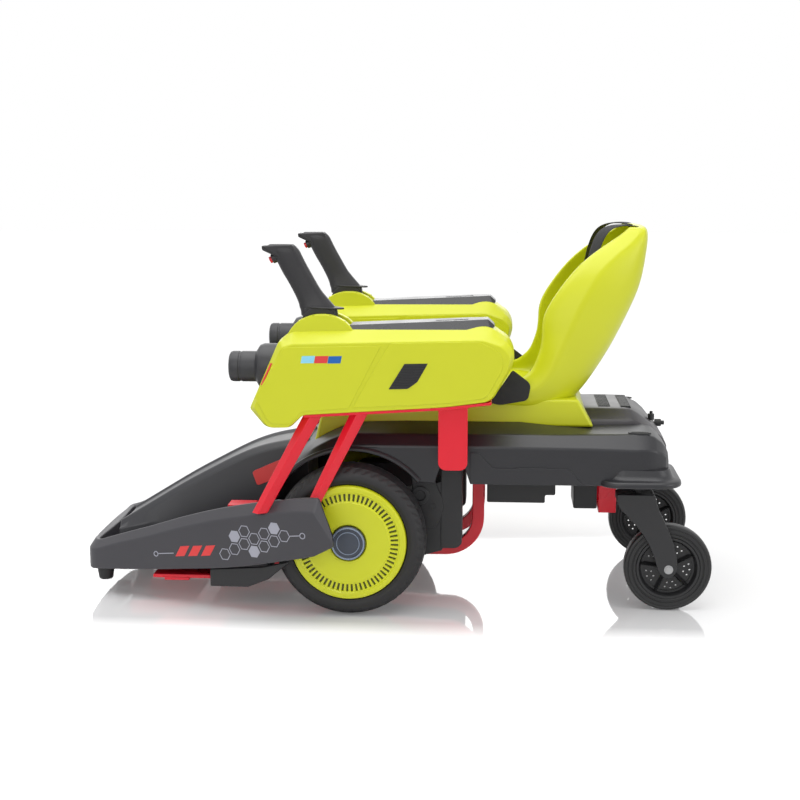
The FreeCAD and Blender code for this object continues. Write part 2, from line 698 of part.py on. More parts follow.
def pods():
    """The lime arm pods: bevelled top, lever slot with its cheeks, arm pad, lamp barrel and side vent."""
    crease = size("pod_crease", 162)
    top = size("pod_top", 197)
    top_half = size("pod_top_half", 29)
    outline = table("pod", "xz", [
        (171, 49), (142, 15), (100, 16), (76, 40), (-165, 56), (-248, 66), (-282, 124), (-287, 147), (-275, 168),
        (-240, top), (96, top), (121, 166),
    ])
    pod_long = outline[0][0] - outline[7][0]
    pod = new_body("pod_body", axle_x, pod_y, deck_z)
    extrude(pod, polygon(pod, "pod_outline", "side", outline), pod_half * 2)
    for name, side in (("outer", 1), ("inner", -1)):
        bevel = polygon(pod, f"{name}_bevel", "front", [
            ((pod_half + 1) * side, crease), (top_half * side, top + 2), ((pod_half + 1) * side, top + 2),
        ])
        extrude(pod, bevel, pod_long * 2, "Pocket")
    pivot_x = size("lever_pivot", 52)
    pivot_z = size("lever_pivot_height", 190)
    drum = size("lever_drum_radius", 34)
    lever_half = size("lever_half_width", 16)
    slot_gap = size("lever_slot_gap", 2)
    cheek = size("cheek_thickness", 12)
    slot = lever_half + slot_gap
    dome = polygon(pod, "dome", "side", [
        (-4, top - 12), (9, top), (32, top + 12), (54, top + 16), (78, top + 12), (100, top - 12),
    ])
    extrude(pod, dome, (slot + cheek) * 2)
    room = circles(pod, "drum_room", "side", [(pivot_x, pivot_z, drum + slot_gap)])
    extrude(pod, room, slot * 2, "Pocket")
    room_floor = top - size("lever_room_depth", 4)
    swing = polygon(pod, "lever_room", "side", [(-4, room_floor), (-4, top + 20), (104, top + 20), (104, room_floor)])
    extrude(pod, swing, slot * 2, "Pocket")
    pin = size("lever_pin_radius", 4)
    holes = circles(pod, "pin_holes", "side", [(pivot_x, pivot_z, pin)])
    extrude(pod, holes, (slot + cheek) * 2, "Pocket")
    lamp = size("lamp_radius", 27)
    lamp_z = size("lamp_height", 116)
    lamp_back = size("lamp_back", 120)
    lamp_front = size("lamp_front", 212)
    seat_hole = circles(pod, "lamp_hole", "front", [(0, lamp_z, lamp)], lamp_back)
    extrude(pod, seat_hole, lamp_front - lamp_back, "Pocket", both_ways=False, reverse=True)
    vent = table("vent", "xz", [(-72, 87), (-105, 88), (-121, 100), (-139, 132), (-99, 131)])
    vent_sink = size("vent_sink", 3)
    for name, side in (("outer", 1), ("inner", -1)):
        hole = polygon(pod, f"{name}_vent_hole", "side", vent, pod_half * side)
        extrude(pod, hole, vent_sink * 2, "Pocket")
    pod.Label = "pod_left"
    keep(pod)
    keep(mirrored(pod, "pod_right"))
    vent_out = size("vent_out", 0.8)
    vent_plate = slab("vent_outer", vent, pod_half - vent_sink, pod_half + vent_out, axle_x, pod_y, deck_z)
    vent_inner = slab("vent_inner", vent, -pod_half - vent_out, -pod_half + vent_sink, axle_x, pod_y, deck_z)
    twins = [mirrored(vent_plate, "vent_outer_twin"), mirrored(vent_inner, "vent_inner_twin")]
    keep(joined("pod_vents", "Part::Compound", [vent_plate, vent_inner] + twins))
    barrel = round_bar("lamp_barrel", lamp, lamp_front - lamp_back, lamp_back, pod_y, deck_z + lamp_z, "x")
    keep_pair(barrel, "lamp_barrels")
    pad_thick = size("pad_thickness", 9)
    pad_front = size("pad_front", -14)
    pad_back = size("pad_back", -238)
    pad = slab("arm_pad", [(pad_front, top), (pad_back, top), (pad_back + 6, top + pad_thick), (pad_front - 4, top + pad_thick)],
               -top_half + 2, top_half - 2, axle_x, pod_y, deck_z)
    keep_pair(pad, "arm_pads")
    pin_bar = round_bar("lever_pin", pin, (slot + cheek) * 2, pivot_x, pod_y - slot - cheek, deck_z + pivot_z, "y")
    keep_pair(pin_bar, "lever_pins")
    levers(pivot_x, pivot_z, drum, lever_half, pin)
    return outline


def levers(pivot_x, pivot_z, drum, half, pin):
    """The drive levers: a round drum on the pin, a leaning shaft and a forward-hooked grip with a button."""
    lever = new_body("lever_body", axle_x, pod_y, deck_z)
    disc = circles(lever, "drum", "side", [(pivot_x, pivot_z, drum)])
    extrude(lever, disc, half * 2)
    shaft = polygon(lever, "shaft", "side", table("shaft", "xz", [
        (22, 202), (12, 219), (38, 224), (87, 319), (97, 330), (148, 329), (152, 322), (139, 315), (125, 313),
        (121, 297), (88, 225), (82, 202),
    ]))
    extrude(lever, shaft, half * 1.8)
    bore = circles(lever, "pin_bore", "side", [(pivot_x, pivot_z, pin + running_gap)])
    extrude(lever, bore, half * 3, "Pocket")
    lever.Label = "lever_left"
    keep(lever)
    keep(mirrored(lever, "lever_right"))
    button = slab("lever_button_left", table("button", "xz", [(131, 312), (142, 315), (144, 308), (133, 305)]),
                  -half * 0.45, half * 0.45, axle_x, pod_y, deck_z)
    keep(button)
    keep(mirrored(button, "lever_button_right"))


def pod_supports(pod_outline):
    """Red steel: the folded plate under each pod with its rear strap, and two struts down to the arm."""
    thick = size("plate_thickness", 5)
    strap_out = pod_y + size("strap_face", 38)
    strap_thick = size("strap_thickness", 5)
    strap_low = -size("strap_drop", 58)
    strap_front = size("strap_front", -156)
    strap_back = size("strap_back", -207)
    stub = size("strap_stub_radius", 14)
    front, middle, back = pod_outline[3], pod_outline[4], pod_outline[5]
    plate = new_body("plate_body", axle_x, pod_y, deck_z)
    sketch = polygon(plate, "plate_side", "side", [
        front, middle, back, (back[0], back[1] - thick), (middle[0], middle[1] - thick), (front[0], front[1] - thick),
    ])
    extrude(plate, sketch, pod_half * 2 - 8)
    strap = polygon(plate, "strap_side", "side", [
        (strap_front, middle[1] - thick * 0.8), (strap_front, strap_low + 10), (strap_front - 10, strap_low),
        (strap_back + 10, strap_low), (strap_back, strap_low + 10), (strap_back, middle[1]),
    ], strap_out - pod_y - strap_thick / 2)
    extrude(plate, strap, strap_thick)
    centre = (strap_front + strap_back) / 2
    reach = strap_out - body_half
    arm = circles(plate, "stub", "side", [(centre, strap_low + 26, stub)], body_half - pod_y + reach / 2)
    extrude(plate, arm, reach)
    plate.Label = "pod_plate_left"
    keep(plate)
    keep(mirrored(plate, "pod_plate_right"))
    strut_thick = size("strut_thickness", 12)
    foot_y = wheel_y + cap_face + size("strut_foot_gap", 7)
    head_y = foot_y - size("strut_lean", 22)
    foot_z = size("strut_foot_height", 186)
    head_z = deck_z + size("strut_head_height", 50)
    rows = table("strut", ("foot_back", "foot_front", "head_back", "head_front"), [
        (139, 166, 38, 71), (56, 78, -39, -8),
    ])
    struts = []
    over = as_size(40)
    for number, (foot_back, foot_front, head_back, head_front) in enumerate(rows, 1):
        strut = new_body(f"strut{number}", axle_x)
        feet = polygon(strut, f"strut{number}_foot", "plan", [
            (foot_back, foot_y), (foot_front, foot_y), (foot_front, foot_y + strut_thick),
            (foot_back, foot_y + strut_thick),
        ], foot_z)
        head = polygon(strut, f"strut{number}_head", "plan", [
            (head_back, head_y), (head_front, head_y), (head_front, head_y + strut_thick),
            (head_back, head_y + strut_thick),
        ], head_z)
        loft(strut, [feet, head])
        above = polygon(strut, f"strut{number}_above", "side", [
            (front[0] + over, deck_z + front[1] - thick - (middle[1] - front[1]) * over / (front[0] - middle[0])),
            (middle[0], deck_z + middle[1] - thick), (middle[0], head_z + over), (front[0] + over, head_z + over),
        ])
        extrude(strut, above, foot_y * 3, "Pocket")
        struts.append(strut)
    pair = joined("struts_left", "Part::Compound", struts)
    return pair


def trim(cover, crown):
    """Two dark slot grilles on the hump and the two small pegs at its back."""
    grille_half = size("grille_half", 84)
    thick = size("grille_thickness", 1.5)
    rows = table("grille", ("front", "back"), [(-424, -440), (-454, -474)])
    grilles = []
    for number, (front, rear) in enumerate(rows, 1):
        grilles.append(box(f"grille{number}", rear, front, -grille_half, grille_half,
                           deck_z + crown, deck_z + crown + thick))
    keep(joined("rear_grilles", "Part::Compound", grilles))
    peg = size("peg_radius", 4)
    peg_length = size("peg_length", 18)
    upright = round_bar("upright_peg", peg, peg_length, -545, 22, deck_z - 9, "z")
    lying = round_bar("lying_peg", peg, peg_length, -574, -18, deck_z - 19, "x")
    both = joined("pegs", "Part::Compound", [upright, lying])
    keep(cut("rear_pegs", both, cover))


front_wheels()
drive()
stem_x, stem_y, fork_top, rail_low = frame()
tail_bracket()
power_boxes()
casters(stem_x, stem_y, fork_top)
corner_x, corner_y, rim, bow, stations, clear_arm, arm_turn = guard(rail_low)
nose(corner_x, corner_y, rim, bow, stations, arm_turn)
front_floor(corner_x, corner_y, rim, bow, stations, arm_turn, rail_low)
body, body_back, deck_chamfer = lower_body(stem_x, stem_y)
keep(body)
cover, crown = seat_and_tub(body_back, deck_chamfer)
pod_outline = pods()
struts = pod_supports(pod_outline)
socketed_arm = cut("guard_arm_left", clear_arm, struts)
keep_pair(socketed_arm, "guard_arms")
keep_pair(struts, "pod_struts")
trim(cover, crown)

doc.recompute()
problems = []
for item in doc.Objects:
    if "Invalid" in item.State or "Error" in item.State:
        problems.append(f"{item.Label}: {item.State}")
for label, piece in parts.items():
    if piece.Shape.isNull() or not piece.Shape.isValid() or piece.Shape.Volume <= 0:
        problems.append(f"{label}: bad shape")
if problems:
    raise RuntimeError("; ".join(problems))
os.makedirs("parts", exist_ok=True)
for label, piece in parts.items():
    piece.Shape.exportStep(f"parts/{label}.step")
print(len(parts), "parts written")
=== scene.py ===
import math

import bmesh
import bpy
from mathutils import Matrix, Vector


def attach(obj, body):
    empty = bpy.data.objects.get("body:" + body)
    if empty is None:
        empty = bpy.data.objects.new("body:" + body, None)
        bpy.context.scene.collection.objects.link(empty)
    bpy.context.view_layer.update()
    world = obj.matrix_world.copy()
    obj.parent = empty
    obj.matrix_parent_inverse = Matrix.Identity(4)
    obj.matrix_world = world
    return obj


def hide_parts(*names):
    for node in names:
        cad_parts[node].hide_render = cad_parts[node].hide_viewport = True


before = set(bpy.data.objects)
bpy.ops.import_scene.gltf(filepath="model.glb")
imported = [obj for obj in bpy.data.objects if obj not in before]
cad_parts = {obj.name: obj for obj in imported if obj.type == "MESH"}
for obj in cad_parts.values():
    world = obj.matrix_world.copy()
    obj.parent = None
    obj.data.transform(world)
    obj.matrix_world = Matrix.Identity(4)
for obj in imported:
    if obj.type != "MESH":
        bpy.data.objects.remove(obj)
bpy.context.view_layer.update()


# Camera. The photograph looks at the car's left side from just above the pods, with a long lens, so
# uprights stay upright and both levers show. Its place was solved from the wheels and the casters.
def placed(name, data):
    """An object with this data, in the scene."""
    made = bpy.data.objects.new(name, data)
    bpy.context.scene.collection.objects.link(made)
    return made


camera_data = bpy.data.cameras.new("camera")
camera_data.lens = 64.98
camera_data.sensor_width = 36
camera_data.clip_end = 60
camera = placed("camera", camera_data)
to_right = Vector((-0.99758, -0.06958, 0))
to_top = Vector((0.01127, -0.16156, 0.98680))
to_back = Vector((-0.06866, 0.98441, 0.16195))
turn = Matrix((to_right, to_top, to_back)).transposed().to_4x4()
camera.matrix_world = Matrix.Translation((-0.195, 2.7166, 0.7906)) @ turn
bpy.context.scene.camera = camera
bpy.context.scene.view_settings.view_transform = "Standard"


# Studio. A white glossy table runs out of sight, under four soft boxes as in catalogue photographs:
# a large one overhead, one behind the camera, one low at the tail and one behind the car.
def linear(code):
    """An sRGB hex colour as linear red, green, blue and alpha."""
    shares = [int(code[place:place + 2], 16) / 255 for place in (1, 3, 5)]
    return [s / 12.92 if s <= 0.04045 else ((s + 0.055) / 1.055) ** 2.4 for s in shares] + [1]


def add_node(tree, kind, inputs, **settings):
    """Adds one shader node with its settings; an input is a value or the socket that feeds it."""
    node = tree.nodes.new(kind)
    for name, value in settings.items():
        setattr(node, name, value)
    for name, value in inputs.items():
        if isinstance(value, bpy.types.NodeSocket):
            tree.links.new(value, node.inputs[name])
        else:
            node.inputs[name].default_value = value
    return node


def worked_out(tree, operation, *values):
    """The socket of one sum in a shader tree, over values or sockets."""
    return add_node(tree, "ShaderNodeMath", dict(enumerate(values)), operation=operation).outputs[0]


def soft_box(name, place, aim, width, height, power):
    lamp = bpy.data.lights.new(name, "AREA")
    lamp.shape = "RECTANGLE"
    lamp.size, lamp.size_y, lamp.energy = width, height, power
    box = placed(name, lamp)
    box.location = place
    box.rotation_euler = (Vector(aim) - Vector(place)).to_track_quat("-Z", "Y").to_euler()


soft_box("overhead_box", (0.2, 0.3, 2.6), (0, 0, 0.3), 3.4, 2.6, 64)
soft_box("front_box", (0.9, 3.2, 1.5), (0, 0, 0.3), 2.4, 2.0, 17)
soft_box("tail_box", (-2.6, 1.2, 1.0), (0, 0, 0.3), 1.4, 1.4, 14)
soft_box("far_box", (0.3, -2.8, 1.4), (0, 0, 0.35), 2.4, 1.4, 14)

world = bpy.data.worlds.new("studio")
bpy.context.scene.world = world
world.use_nodes = True
sky = world.node_tree
rays = add_node(sky, "ShaderNodeLightPath", {}).outputs
seen = worked_out(sky, "MAXIMUM", rays["Is Camera Ray"], rays["Is Glossy Ray"])
seen = worked_out(sky, "MAXIMUM", seen, rays["Is Transmission Ray"])
glow = add_node(sky, "ShaderNodeMapRange", {"Value": seen, "To Min": 0.4, "To Max": 1.0})
sky.nodes["Background"].inputs["Color"].default_value = (1, 1, 1, 1)
sky.links.new(glow.outputs[0], sky.nodes["Background"].inputs["Strength"])

table_form = bmesh.new()
bmesh.ops.create_grid(table_form, x_segments=2, y_segments=2, size=14)
table_mesh = bpy.data.meshes.new("studio_table")
table_form.to_mesh(table_mesh)
table_form.free()
studio_table = placed("studio_table", table_mesh)
# White acrylic sheet: pure white where lit, and at a low angle a clear mirror of what stands on it.
acrylic = bpy.data.materials.new("white_acrylic_sheet")
acrylic.use_nodes = True
tree = acrylic.node_tree
rays = add_node(tree, "ShaderNodeLightPath", {}).outputs
where = add_node(tree, "ShaderNodeTexCoord", {}).outputs["Object"]
away = add_node(tree, "ShaderNodeVectorMath", {0: where}, operation="LENGTH")
spread = add_node(tree, "ShaderNodeMapRange", {"Value": away.outputs["Value"], "From Min": 0.7, "From Max": 2.2,
                                               "To Min": 0.1, "To Max": 0.3})
# The polished strip ends in front of the car; past it the sheet is frosted and mirrors nothing.
split = add_node(tree, "ShaderNodeSeparateXYZ", {"Vector": where})
frosted = add_node(tree, "ShaderNodeMapRange", {"Value": split.outputs["Y"], "From Min": 0.3, "From Max": 0.43})
spread = worked_out(tree, "MULTIPLY_ADD", frosted.outputs[0], 0.5, spread.outputs[0])
lift = worked_out(tree, "MULTIPLY", rays["Is Camera Ray"], spread)
white = add_node(tree, "ShaderNodeBsdfDiffuse", {"Color": linear("#F2F2F3")})
mirror_sheen = add_node(tree, "ShaderNodeBsdfGlossy", {"Color": linear("#FFFFFF"), "Roughness": 0.04})
gloss = add_node(tree, "ShaderNodeFresnel", {"IOR": 3.8})
polished = worked_out(tree, "SUBTRACT", 1.0, frosted.outputs[0])
gloss = worked_out(tree, "MULTIPLY", gloss.outputs[0], polished)
sheet = add_node(tree, "ShaderNodeMixShader", {0: gloss, 1: white.outputs[0], 2: mirror_sheen.outputs[0]})
lift_light = add_node(tree, "ShaderNodeEmission", {"Color": (1, 1, 1, 1), "Strength": lift})
both = add_node(tree, "ShaderNodeAddShader", {0: sheet.outputs[0], 1: lift_light.outputs[0]})
tree.links.new(both.outputs[0], tree.nodes["Material Output"].inputs["Surface"])
table_mesh.materials.append(acrylic)
studio_table.location.z = -0.0004

# Front wheels. Each is a wide soft rubber tyre on a moulded hub, driven by a small motor; the tread
# has short curved sipes across its shoulders, and the bead is a thin ring against the lime hub.
MM = 0.001
AXLE_X = 66
WHEEL_Y = 237
WHEEL_Z = 135
FULL_TURN = 2 * math.pi
TO_ROW = Matrix.Translation((AXLE_X * MM, 0, 0)) @ Matrix.Scale(MM, 4)


def piece(name, form, finish, body, slot, stands_for=(), rounding=0.0, steps=3, corner=32):
    """Makes a piece of a form drawn in millimetres from the front axle, and rounds its edges."""
    bmesh.ops.recalc_face_normals(form, faces=form.faces[:])
    bmesh.ops.transform(form, matrix=TO_ROW, verts=form.verts[:])
    for face in form.faces:
        face.smooth = True
    mesh = bpy.data.meshes.new(name)
    form.to_mesh(mesh)
    form.free()
    mesh.set_sharp_from_angle(angle=math.radians(corner))
    mesh.materials.append(finish)
    made = placed(name, mesh)
    if rounding:
        soften = made.modifiers.new("rounding", "BEVEL")
        soften.width = rounding * MM
        soften.segments = steps
        soften.limit_method = "ANGLE"
        soften.angle_limit = math.radians(corner)
        soften.use_clamp_overlap = False
        soften.harden_normals = True
    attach(made, body)
    if stands_for:
        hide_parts(*stands_for)
    return made


def wire(form, points, closed=True):
    """Corners at the points and the edges that join them in turn."""
    corners = [form.verts.new(point) for point in points]
    ends = zip(corners, corners[1:] + corners[:1] if closed else corners[1:])
    return corners, [form.edges.new(pair) for pair in ends]


def turned(centre, *profiles, steps=96, open_ends=False, axle=(0, 1, 0)):
    """Turns profiles of (distance along the axle, radius) about an axle through the centre."""
    form = bmesh.new()
    out = Vector((0, 0, 1)) if not axle[2] else Vector((1, 0, 0))
    for profile in profiles:
        points = [Vector(centre) + Vector(axle) * along + out * radius for along, radius in profile]
        corners, edges = wire(form, points, not open_ends)
        bmesh.ops.spin(form, geom=corners + edges, cent=centre, axis=axle, angle=FULL_TURN,
                       steps=steps, use_merge=True)
    bmesh.ops.remove_doubles(form, verts=form.verts[:], dist=0.001)
    return form


def merged(*forms):
    """Several forms as one, each still closed in itself."""
    whole = forms[0]
    for form in forms[1:]:
        spare = bpy.data.meshes.new("spare")
        form.to_mesh(spare)
        form.free()
        whole.from_mesh(spare)
        bpy.data.meshes.remove(spare)
    return whole


def paired(name, form, finish, body, slot, stands_for=None, **looks):
    """A piece for the left side and its mirror image for the right, each named for its side."""
    mirror = form.copy()
    bmesh.ops.scale(mirror, vec=(1, -1, 1), verts=mirror.verts[:])
    for side, shape in (("_left", form), ("_right", mirror)):
        carrier = body if body == "chassis" else body + side
        piece(name + side, shape, finish, carrier, slot, [stands_for + side] if stands_for else (), **looks)


def both_flanks(half):
    """A whole profile from its half at one side, which may end on the middle."""
    return half + [(-along, radius) for along, radius in reversed(half) if along]


def column(face, centre, steps):
    """Which of the turned steps a face lies in, and its distance from the axle."""
    arm = face.calc_center_median() - centre
    return int((math.atan2(arm.x, arm.z) / FULL_TURN * steps + steps) % steps), math.hypot(arm.x, arm.z)


def grained(name, face, shade, roughness, grain, depth, drift=90.0, **settings):
    """A moulded or cast skin: a colour that drifts a little, over a fine even grain (mm)."""
    finish = bpy.data.materials.new(name)
    finish.use_nodes = True
    tree = finish.node_tree
    shader = tree.nodes["Principled BSDF"]
    where = add_node(tree, "ShaderNodeTexCoord", {}).outputs["Object"]
    cloud = add_node(tree, "ShaderNodeTexNoise", {"Vector": where, "Scale": 1 / (drift * MM), "Detail": 4.0})
    tone = add_node(tree, "ShaderNodeMix", {0: cloud.outputs[0], 6: linear(face), 7: linear(shade)},
                    data_type="RGBA")
    skin = add_node(tree, "ShaderNodeTexNoise", {"Vector": where, "Scale": 1 / (grain * MM), "Detail": 3.0,
                                                 "Roughness": 0.6})
    polish = add_node(tree, "ShaderNodeMapRange", {"Value": cloud.outputs[0], "From Min": 0.3, "From Max": 0.7,
                                                   "To Min": roughness - 0.04, "To Max": roughness + 0.05})
    bump = add_node(tree, "ShaderNodeBump", {"Height": skin.outputs[0], "Strength": 0.35, "Distance": depth * MM})
    tree.links.new(tone.outputs[2], shader.inputs["Base Color"])
    tree.links.new(polish.outputs[0], shader.inputs["Roughness"])
    tree.links.new(bump.outputs[0], shader.inputs["Normal"])
    for socket, value in settings.items():
        shader.inputs[socket.replace("_", " ")].default_value = value
    return finish


# Vulcanised rubber: near black, dull, with a faint grey bloom.
tyre_rubber = grained("vulcanised_rubber", "#131214", "#1B1A1C", 0.58, 1.6, 0.25, drift=40)
# Lime polypropylene, satin from the mould: bright, with a soft sheen and hardly any grain.
lime_polypropylene = grained("satin_lime_polypropylene", "#D3D81F", "#CDD219", 0.36, 2.2, 0.05, drift=160)
# Darker olive lime on the ring that closes the hub's slots from behind: painted shade, standing in for the shadow
# down in the slots.
painted_shade_lime = grained("painted_shade_lime", "#55590D", "#4A4D0A", 0.45, 1.6, 0.05, drift=40)
# Dark ABS of the hub cap, and the blue-grey of its plated rings.
cap_abs = grained("charcoal_abs", "#3C4350", "#343A46", 0.34, 1.2, 0.05, drift=30)
ring_plating = grained("blue_grey_plating", "#8C98AA", "#7D899C", 0.28, 1.0, 0.03, drift=25, Metallic=0.6)
axle_steel = grained("turned_steel", "#B9BABC", "#A2A3A6", 0.3, 0.8, 0.05, drift=12, Metallic=1.0)

TYRE_STEPS = 96
HUB_STEPS = 128
SIDEWALL = 38
SIPE_LEAN = 0.10
TREAD_RADIUS = 125
PLAIN_BAND = 11
SLOT_FROM, SLOT_TO = 75, 87
half_tyre = [
    (30, 102), (34, 102.6), (36, 104.5), (36.2, 107.5), (37.2, 108.6), (38, 113), (37.6, 118), (35.4, 123.5),
    (31, 128.2), (25, 131.6), (17, 133.8), (8, 134.8), (0, 135),
]
hub_profile = [
    (-30, 6.05), (-30, 18), (34, 18), (34, 88), (-30, 88), (-30, 101.8), (30, 101.8), (38, 101.8), (41.2, 100.6),
    (42.8, 98), (43, 94), (43, 91), (41.6, 89.4), (41.4, 88), (41.4, 74.5), (42, 73), (43, 71.6), (43, 60),
    (42.6, 46), (42, 33), (38.5, 31.2), (37, 30.2), (37, 6.05),
]
cap_profile = [
    (40, 0), (40, 15), (37.1, 15), (37.1, 30), (45.4, 30), (46.4, 29), (46.4, 26.2), (45.4, 25.4), (45.4, 18.4),
    (45.9, 12), (46.2, 0),
]
centre = Vector((0, WHEEL_Y, WHEEL_Z))
tyre = turned(centre, both_flanks(half_tyre), steps=TYRE_STEPS)
for vert in tyre.verts:
    lean = SIPE_LEAN * (abs(vert.co.y - WHEEL_Y) / SIDEWALL) ** 2
    vert.co = Matrix.Translation(centre) @ Matrix.Rotation(lean, 4, "Y") @ (vert.co - centre)
bmesh.ops.recalc_face_normals(tyre, faces=tyre.faces[:])
sipes = []
for face in tyre.faces:
    step, radius = column(face, centre, TYRE_STEPS)
    off_centre = abs(face.calc_center_median().y - WHEEL_Y)
    if step % 2 == 0 and radius > TREAD_RADIUS and off_centre > PLAIN_BAND:
        sipes.append(face)
bmesh.ops.inset_region(tyre, faces=sipes, thickness=2.6, depth=-1.5, use_even_offset=True)
hub = turned(centre, hub_profile, steps=HUB_STEPS)
bmesh.ops.recalc_face_normals(hub, faces=hub.faces[:])
slots = []
for face in hub.faces:
    step, radius = column(face, centre, HUB_STEPS)
    if step % 2 and SLOT_FROM < radius < SLOT_TO and face.calc_center_median().y > WHEEL_Y + 40:
        slots.append(face)
bmesh.ops.inset_region(hub, faces=slots, thickness=0.5, depth=-6, use_even_offset=True)
# The slots' floor ring carries the darker lime as painted shade.
slot_floor_painted_shade = turned(centre, [(36.6, SLOT_FROM), (37.8, SLOT_FROM), (37.8, SLOT_TO), (36.6, SLOT_TO)], steps=96)
rings = turned(centre, [(45.2, 26), (46.9, 26.4), (46.9, 29), (45.2, 29.4)],
               [(45.2, 19), (46.2, 19.2), (46.2, 20.4), (45.2, 20.6)], steps=64)
paired("tyre_tread", tyre, tyre_rubber, "wheel", "rubber_tyre", "tyre", corner=40)
paired("vaned_hub", hub, lime_polypropylene, "wheel", "lime_plastic", "hub", corner=28)
paired("cap_disc", turned(centre, cap_profile, steps=64, open_ends=True), cap_abs, "wheel", "grey_plastic", "hub_cap")
paired("cap_rings", rings, ring_plating, "wheel", "grey_plastic")
paired("hub_slot_shade_ring", slot_floor_painted_shade, painted_shade_lime, "wheel", "lime_plastic")
# The stub axles and the lever pins stay as the CAD has them, in turned steel.
for node in ("axles", "lever_pins"):
    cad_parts[node].data.materials.clear()
    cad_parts[node].data.materials.append(axle_steel)


# Motor housings. A gearbox and motor sit inboard of each front wheel in a black nylon case, with a
# cover plate and a raised boss on the face that looks out past the tyre.
def thickened(form, depth):
    """A flat form given a depth along Y."""
    grown = bmesh.ops.extrude_face_region(form, geom=form.faces[:])
    moved = [item for item in grown["geom"] if isinstance(item, bmesh.types.BMVert)]
    bmesh.ops.translate(form, verts=moved, vec=(0, depth, 0))
    return form


def outline(corners, y_low, y_high):
    """A slab between two y, from the (x, z, rounding) corners of its side view."""
    form = bmesh.new()
    points = [form.verts.new((x, y_low, z)) for x, z, *_ in corners]
    form.faces.new(points)
    for point, (_, _, *rounding) in zip(points, corners):
        if rounding:
            bmesh.ops.bevel(form, geom=[point], offset=rounding[0], offset_type="OFFSET",
                            segments=14 if rounding[0] > 24 else 6, profile=0.5, affect="VERTICES", material=-1)
    return thickened(form, y_high - y_low)


def with_twin(form):
    """The form and its mirror image on the other side of the car."""
    bmesh.ops.mirror(form, geom=form.verts[:] + form.edges[:] + form.faces[:], merge_dist=0.001, axis="Y")
    return form


# Glass-filled nylon: black and slightly mottled. Painted steel: red stove enamel with a soft shine.
case_nylon = grained("black_glass_filled_nylon", "#19191B", "#212123", 0.5, 1.4, 0.15, drift=30)
red_enamel = grained("red_stove_enamel", "#EC0F2C", "#DE0B26", 0.3, 3.0, 0.06, drift=120)
housing = outline([
    (58, 150, 8), (48, 92, 12), (0, 70, 20), (-80, 76, 30), (-162, 100, 4), (-162, 229, 2), (-70, 196, 12),
    (20, 192, 12),
], 128, 186)
rear_half = outline([(-158, 104, 2), (-187, 104, 6), (-196, 112, 4), (-196, 263, 2), (-158, 263, 2)], 128, 187.5)
cover = outline([
    (-129, 250, 3), (-146, 236, 4), (-150, 223, 6), (-163, 190, 6), (-162, 168, 12), (-149, 142, 6), (-112, 138, 6),
    (-104, 250, 3),
], 180, 189.4)
boss = turned((-121, 0, 202), [(184, 17), (192, 17), (193, 15.5), (193, 10), (190.4, 8.5), (190.4, 0.1)],
              steps=40, open_ends=True)
hole = turned((-144, 0, 181), [(186, 6.5), (190.6, 6.5), (190.6, 3.8), (189.6, 3.6), (189.6, 0.1)],
              steps=24, open_ends=True)
piece("motor_cases", with_twin(merged(housing, rear_half, cover)), case_nylon, "chassis", "black_plastic",
      ["motor_housings"], rounding=1.6)
piece("motor_bosses", with_twin(merged(boss, hole)), case_nylon, "chassis", "black_plastic")

# Welded frame. Square steel tube is bent and welded, then enamelled red: two rails run from the nose,
# bend up behind the motors and run on under the deck; a beam between them carries the axles.
rail = outline([
    (440, 40, 3), (440, 62, 3), (62, 62, 60), (-92, 88, 60), (-213, 88, 50), (-213, 262, 3), (-490, 262, 3),
    (-490, 240, 3), (-235, 240, 16), (-235, 66, 72), (-90, 66, 60), (60, 40, 60),
], 69, 91)
floor_plate = outline([(240, 44), (366, 44), (366, 51), (240, 51)], 88, 205)
lug = outline([(299, 40), (345, 40), (345, 46), (299, 46)], 170, 206)
strut_foot = outline([(173, 180), (222, 180), (222, 188), (173, 188)], 188, 226)
piece("rails", with_twin(merged(rail, floor_plate, lug, strut_foot)), red_enamel, "chassis", "red_steel",
      ["frame_rails"], rounding=1.8)


def recast(name, node, finish, slot, rounding, steps=3):
    """A piece of the chassis that keeps its CAD node's form, with its edges rounded."""
    form = bmesh.new()
    form.from_mesh(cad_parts[node].data)
    bmesh.ops.remove_doubles(form, verts=form.verts[:], dist=0.00002)
    bmesh.ops.dissolve_limit(form, angle_limit=math.radians(1.5), verts=form.verts[:], edges=form.edges[:])
    bmesh.ops.transform(form, matrix=TO_ROW.inverted(), verts=form.verts[:])
    piece(name, form, finish, "chassis", slot, [node], rounding=rounding, steps=steps)


recast("axle_crossbeam", "axle_beam", red_enamel, "red_steel", 2)
recast("tail_bracket", "tail_hanger", red_enamel, "red_steel", 1.5)
recast("caster_crossbar", "caster_bar", case_nylon, "black_plastic", 2)
# Zinc-plated strip under the nose.
zinc_plate = grained("zinc_plate", "#B4B4B4", "#9C9C9E", 0.34, 1.4, 0.06, drift=14, Metallic=1.0)
recast("drilled_strip", "drilled_bar", zinc_plate, "bare_steel", 0.8)

# Power. The sealed battery and the motor controller hang in black trays under the rear deck.
recast("battery_tray", "battery_box", case_nylon, "black_plastic", 3)
recast("controller_case", "controller_box", case_nylon, "black_plastic", 3)

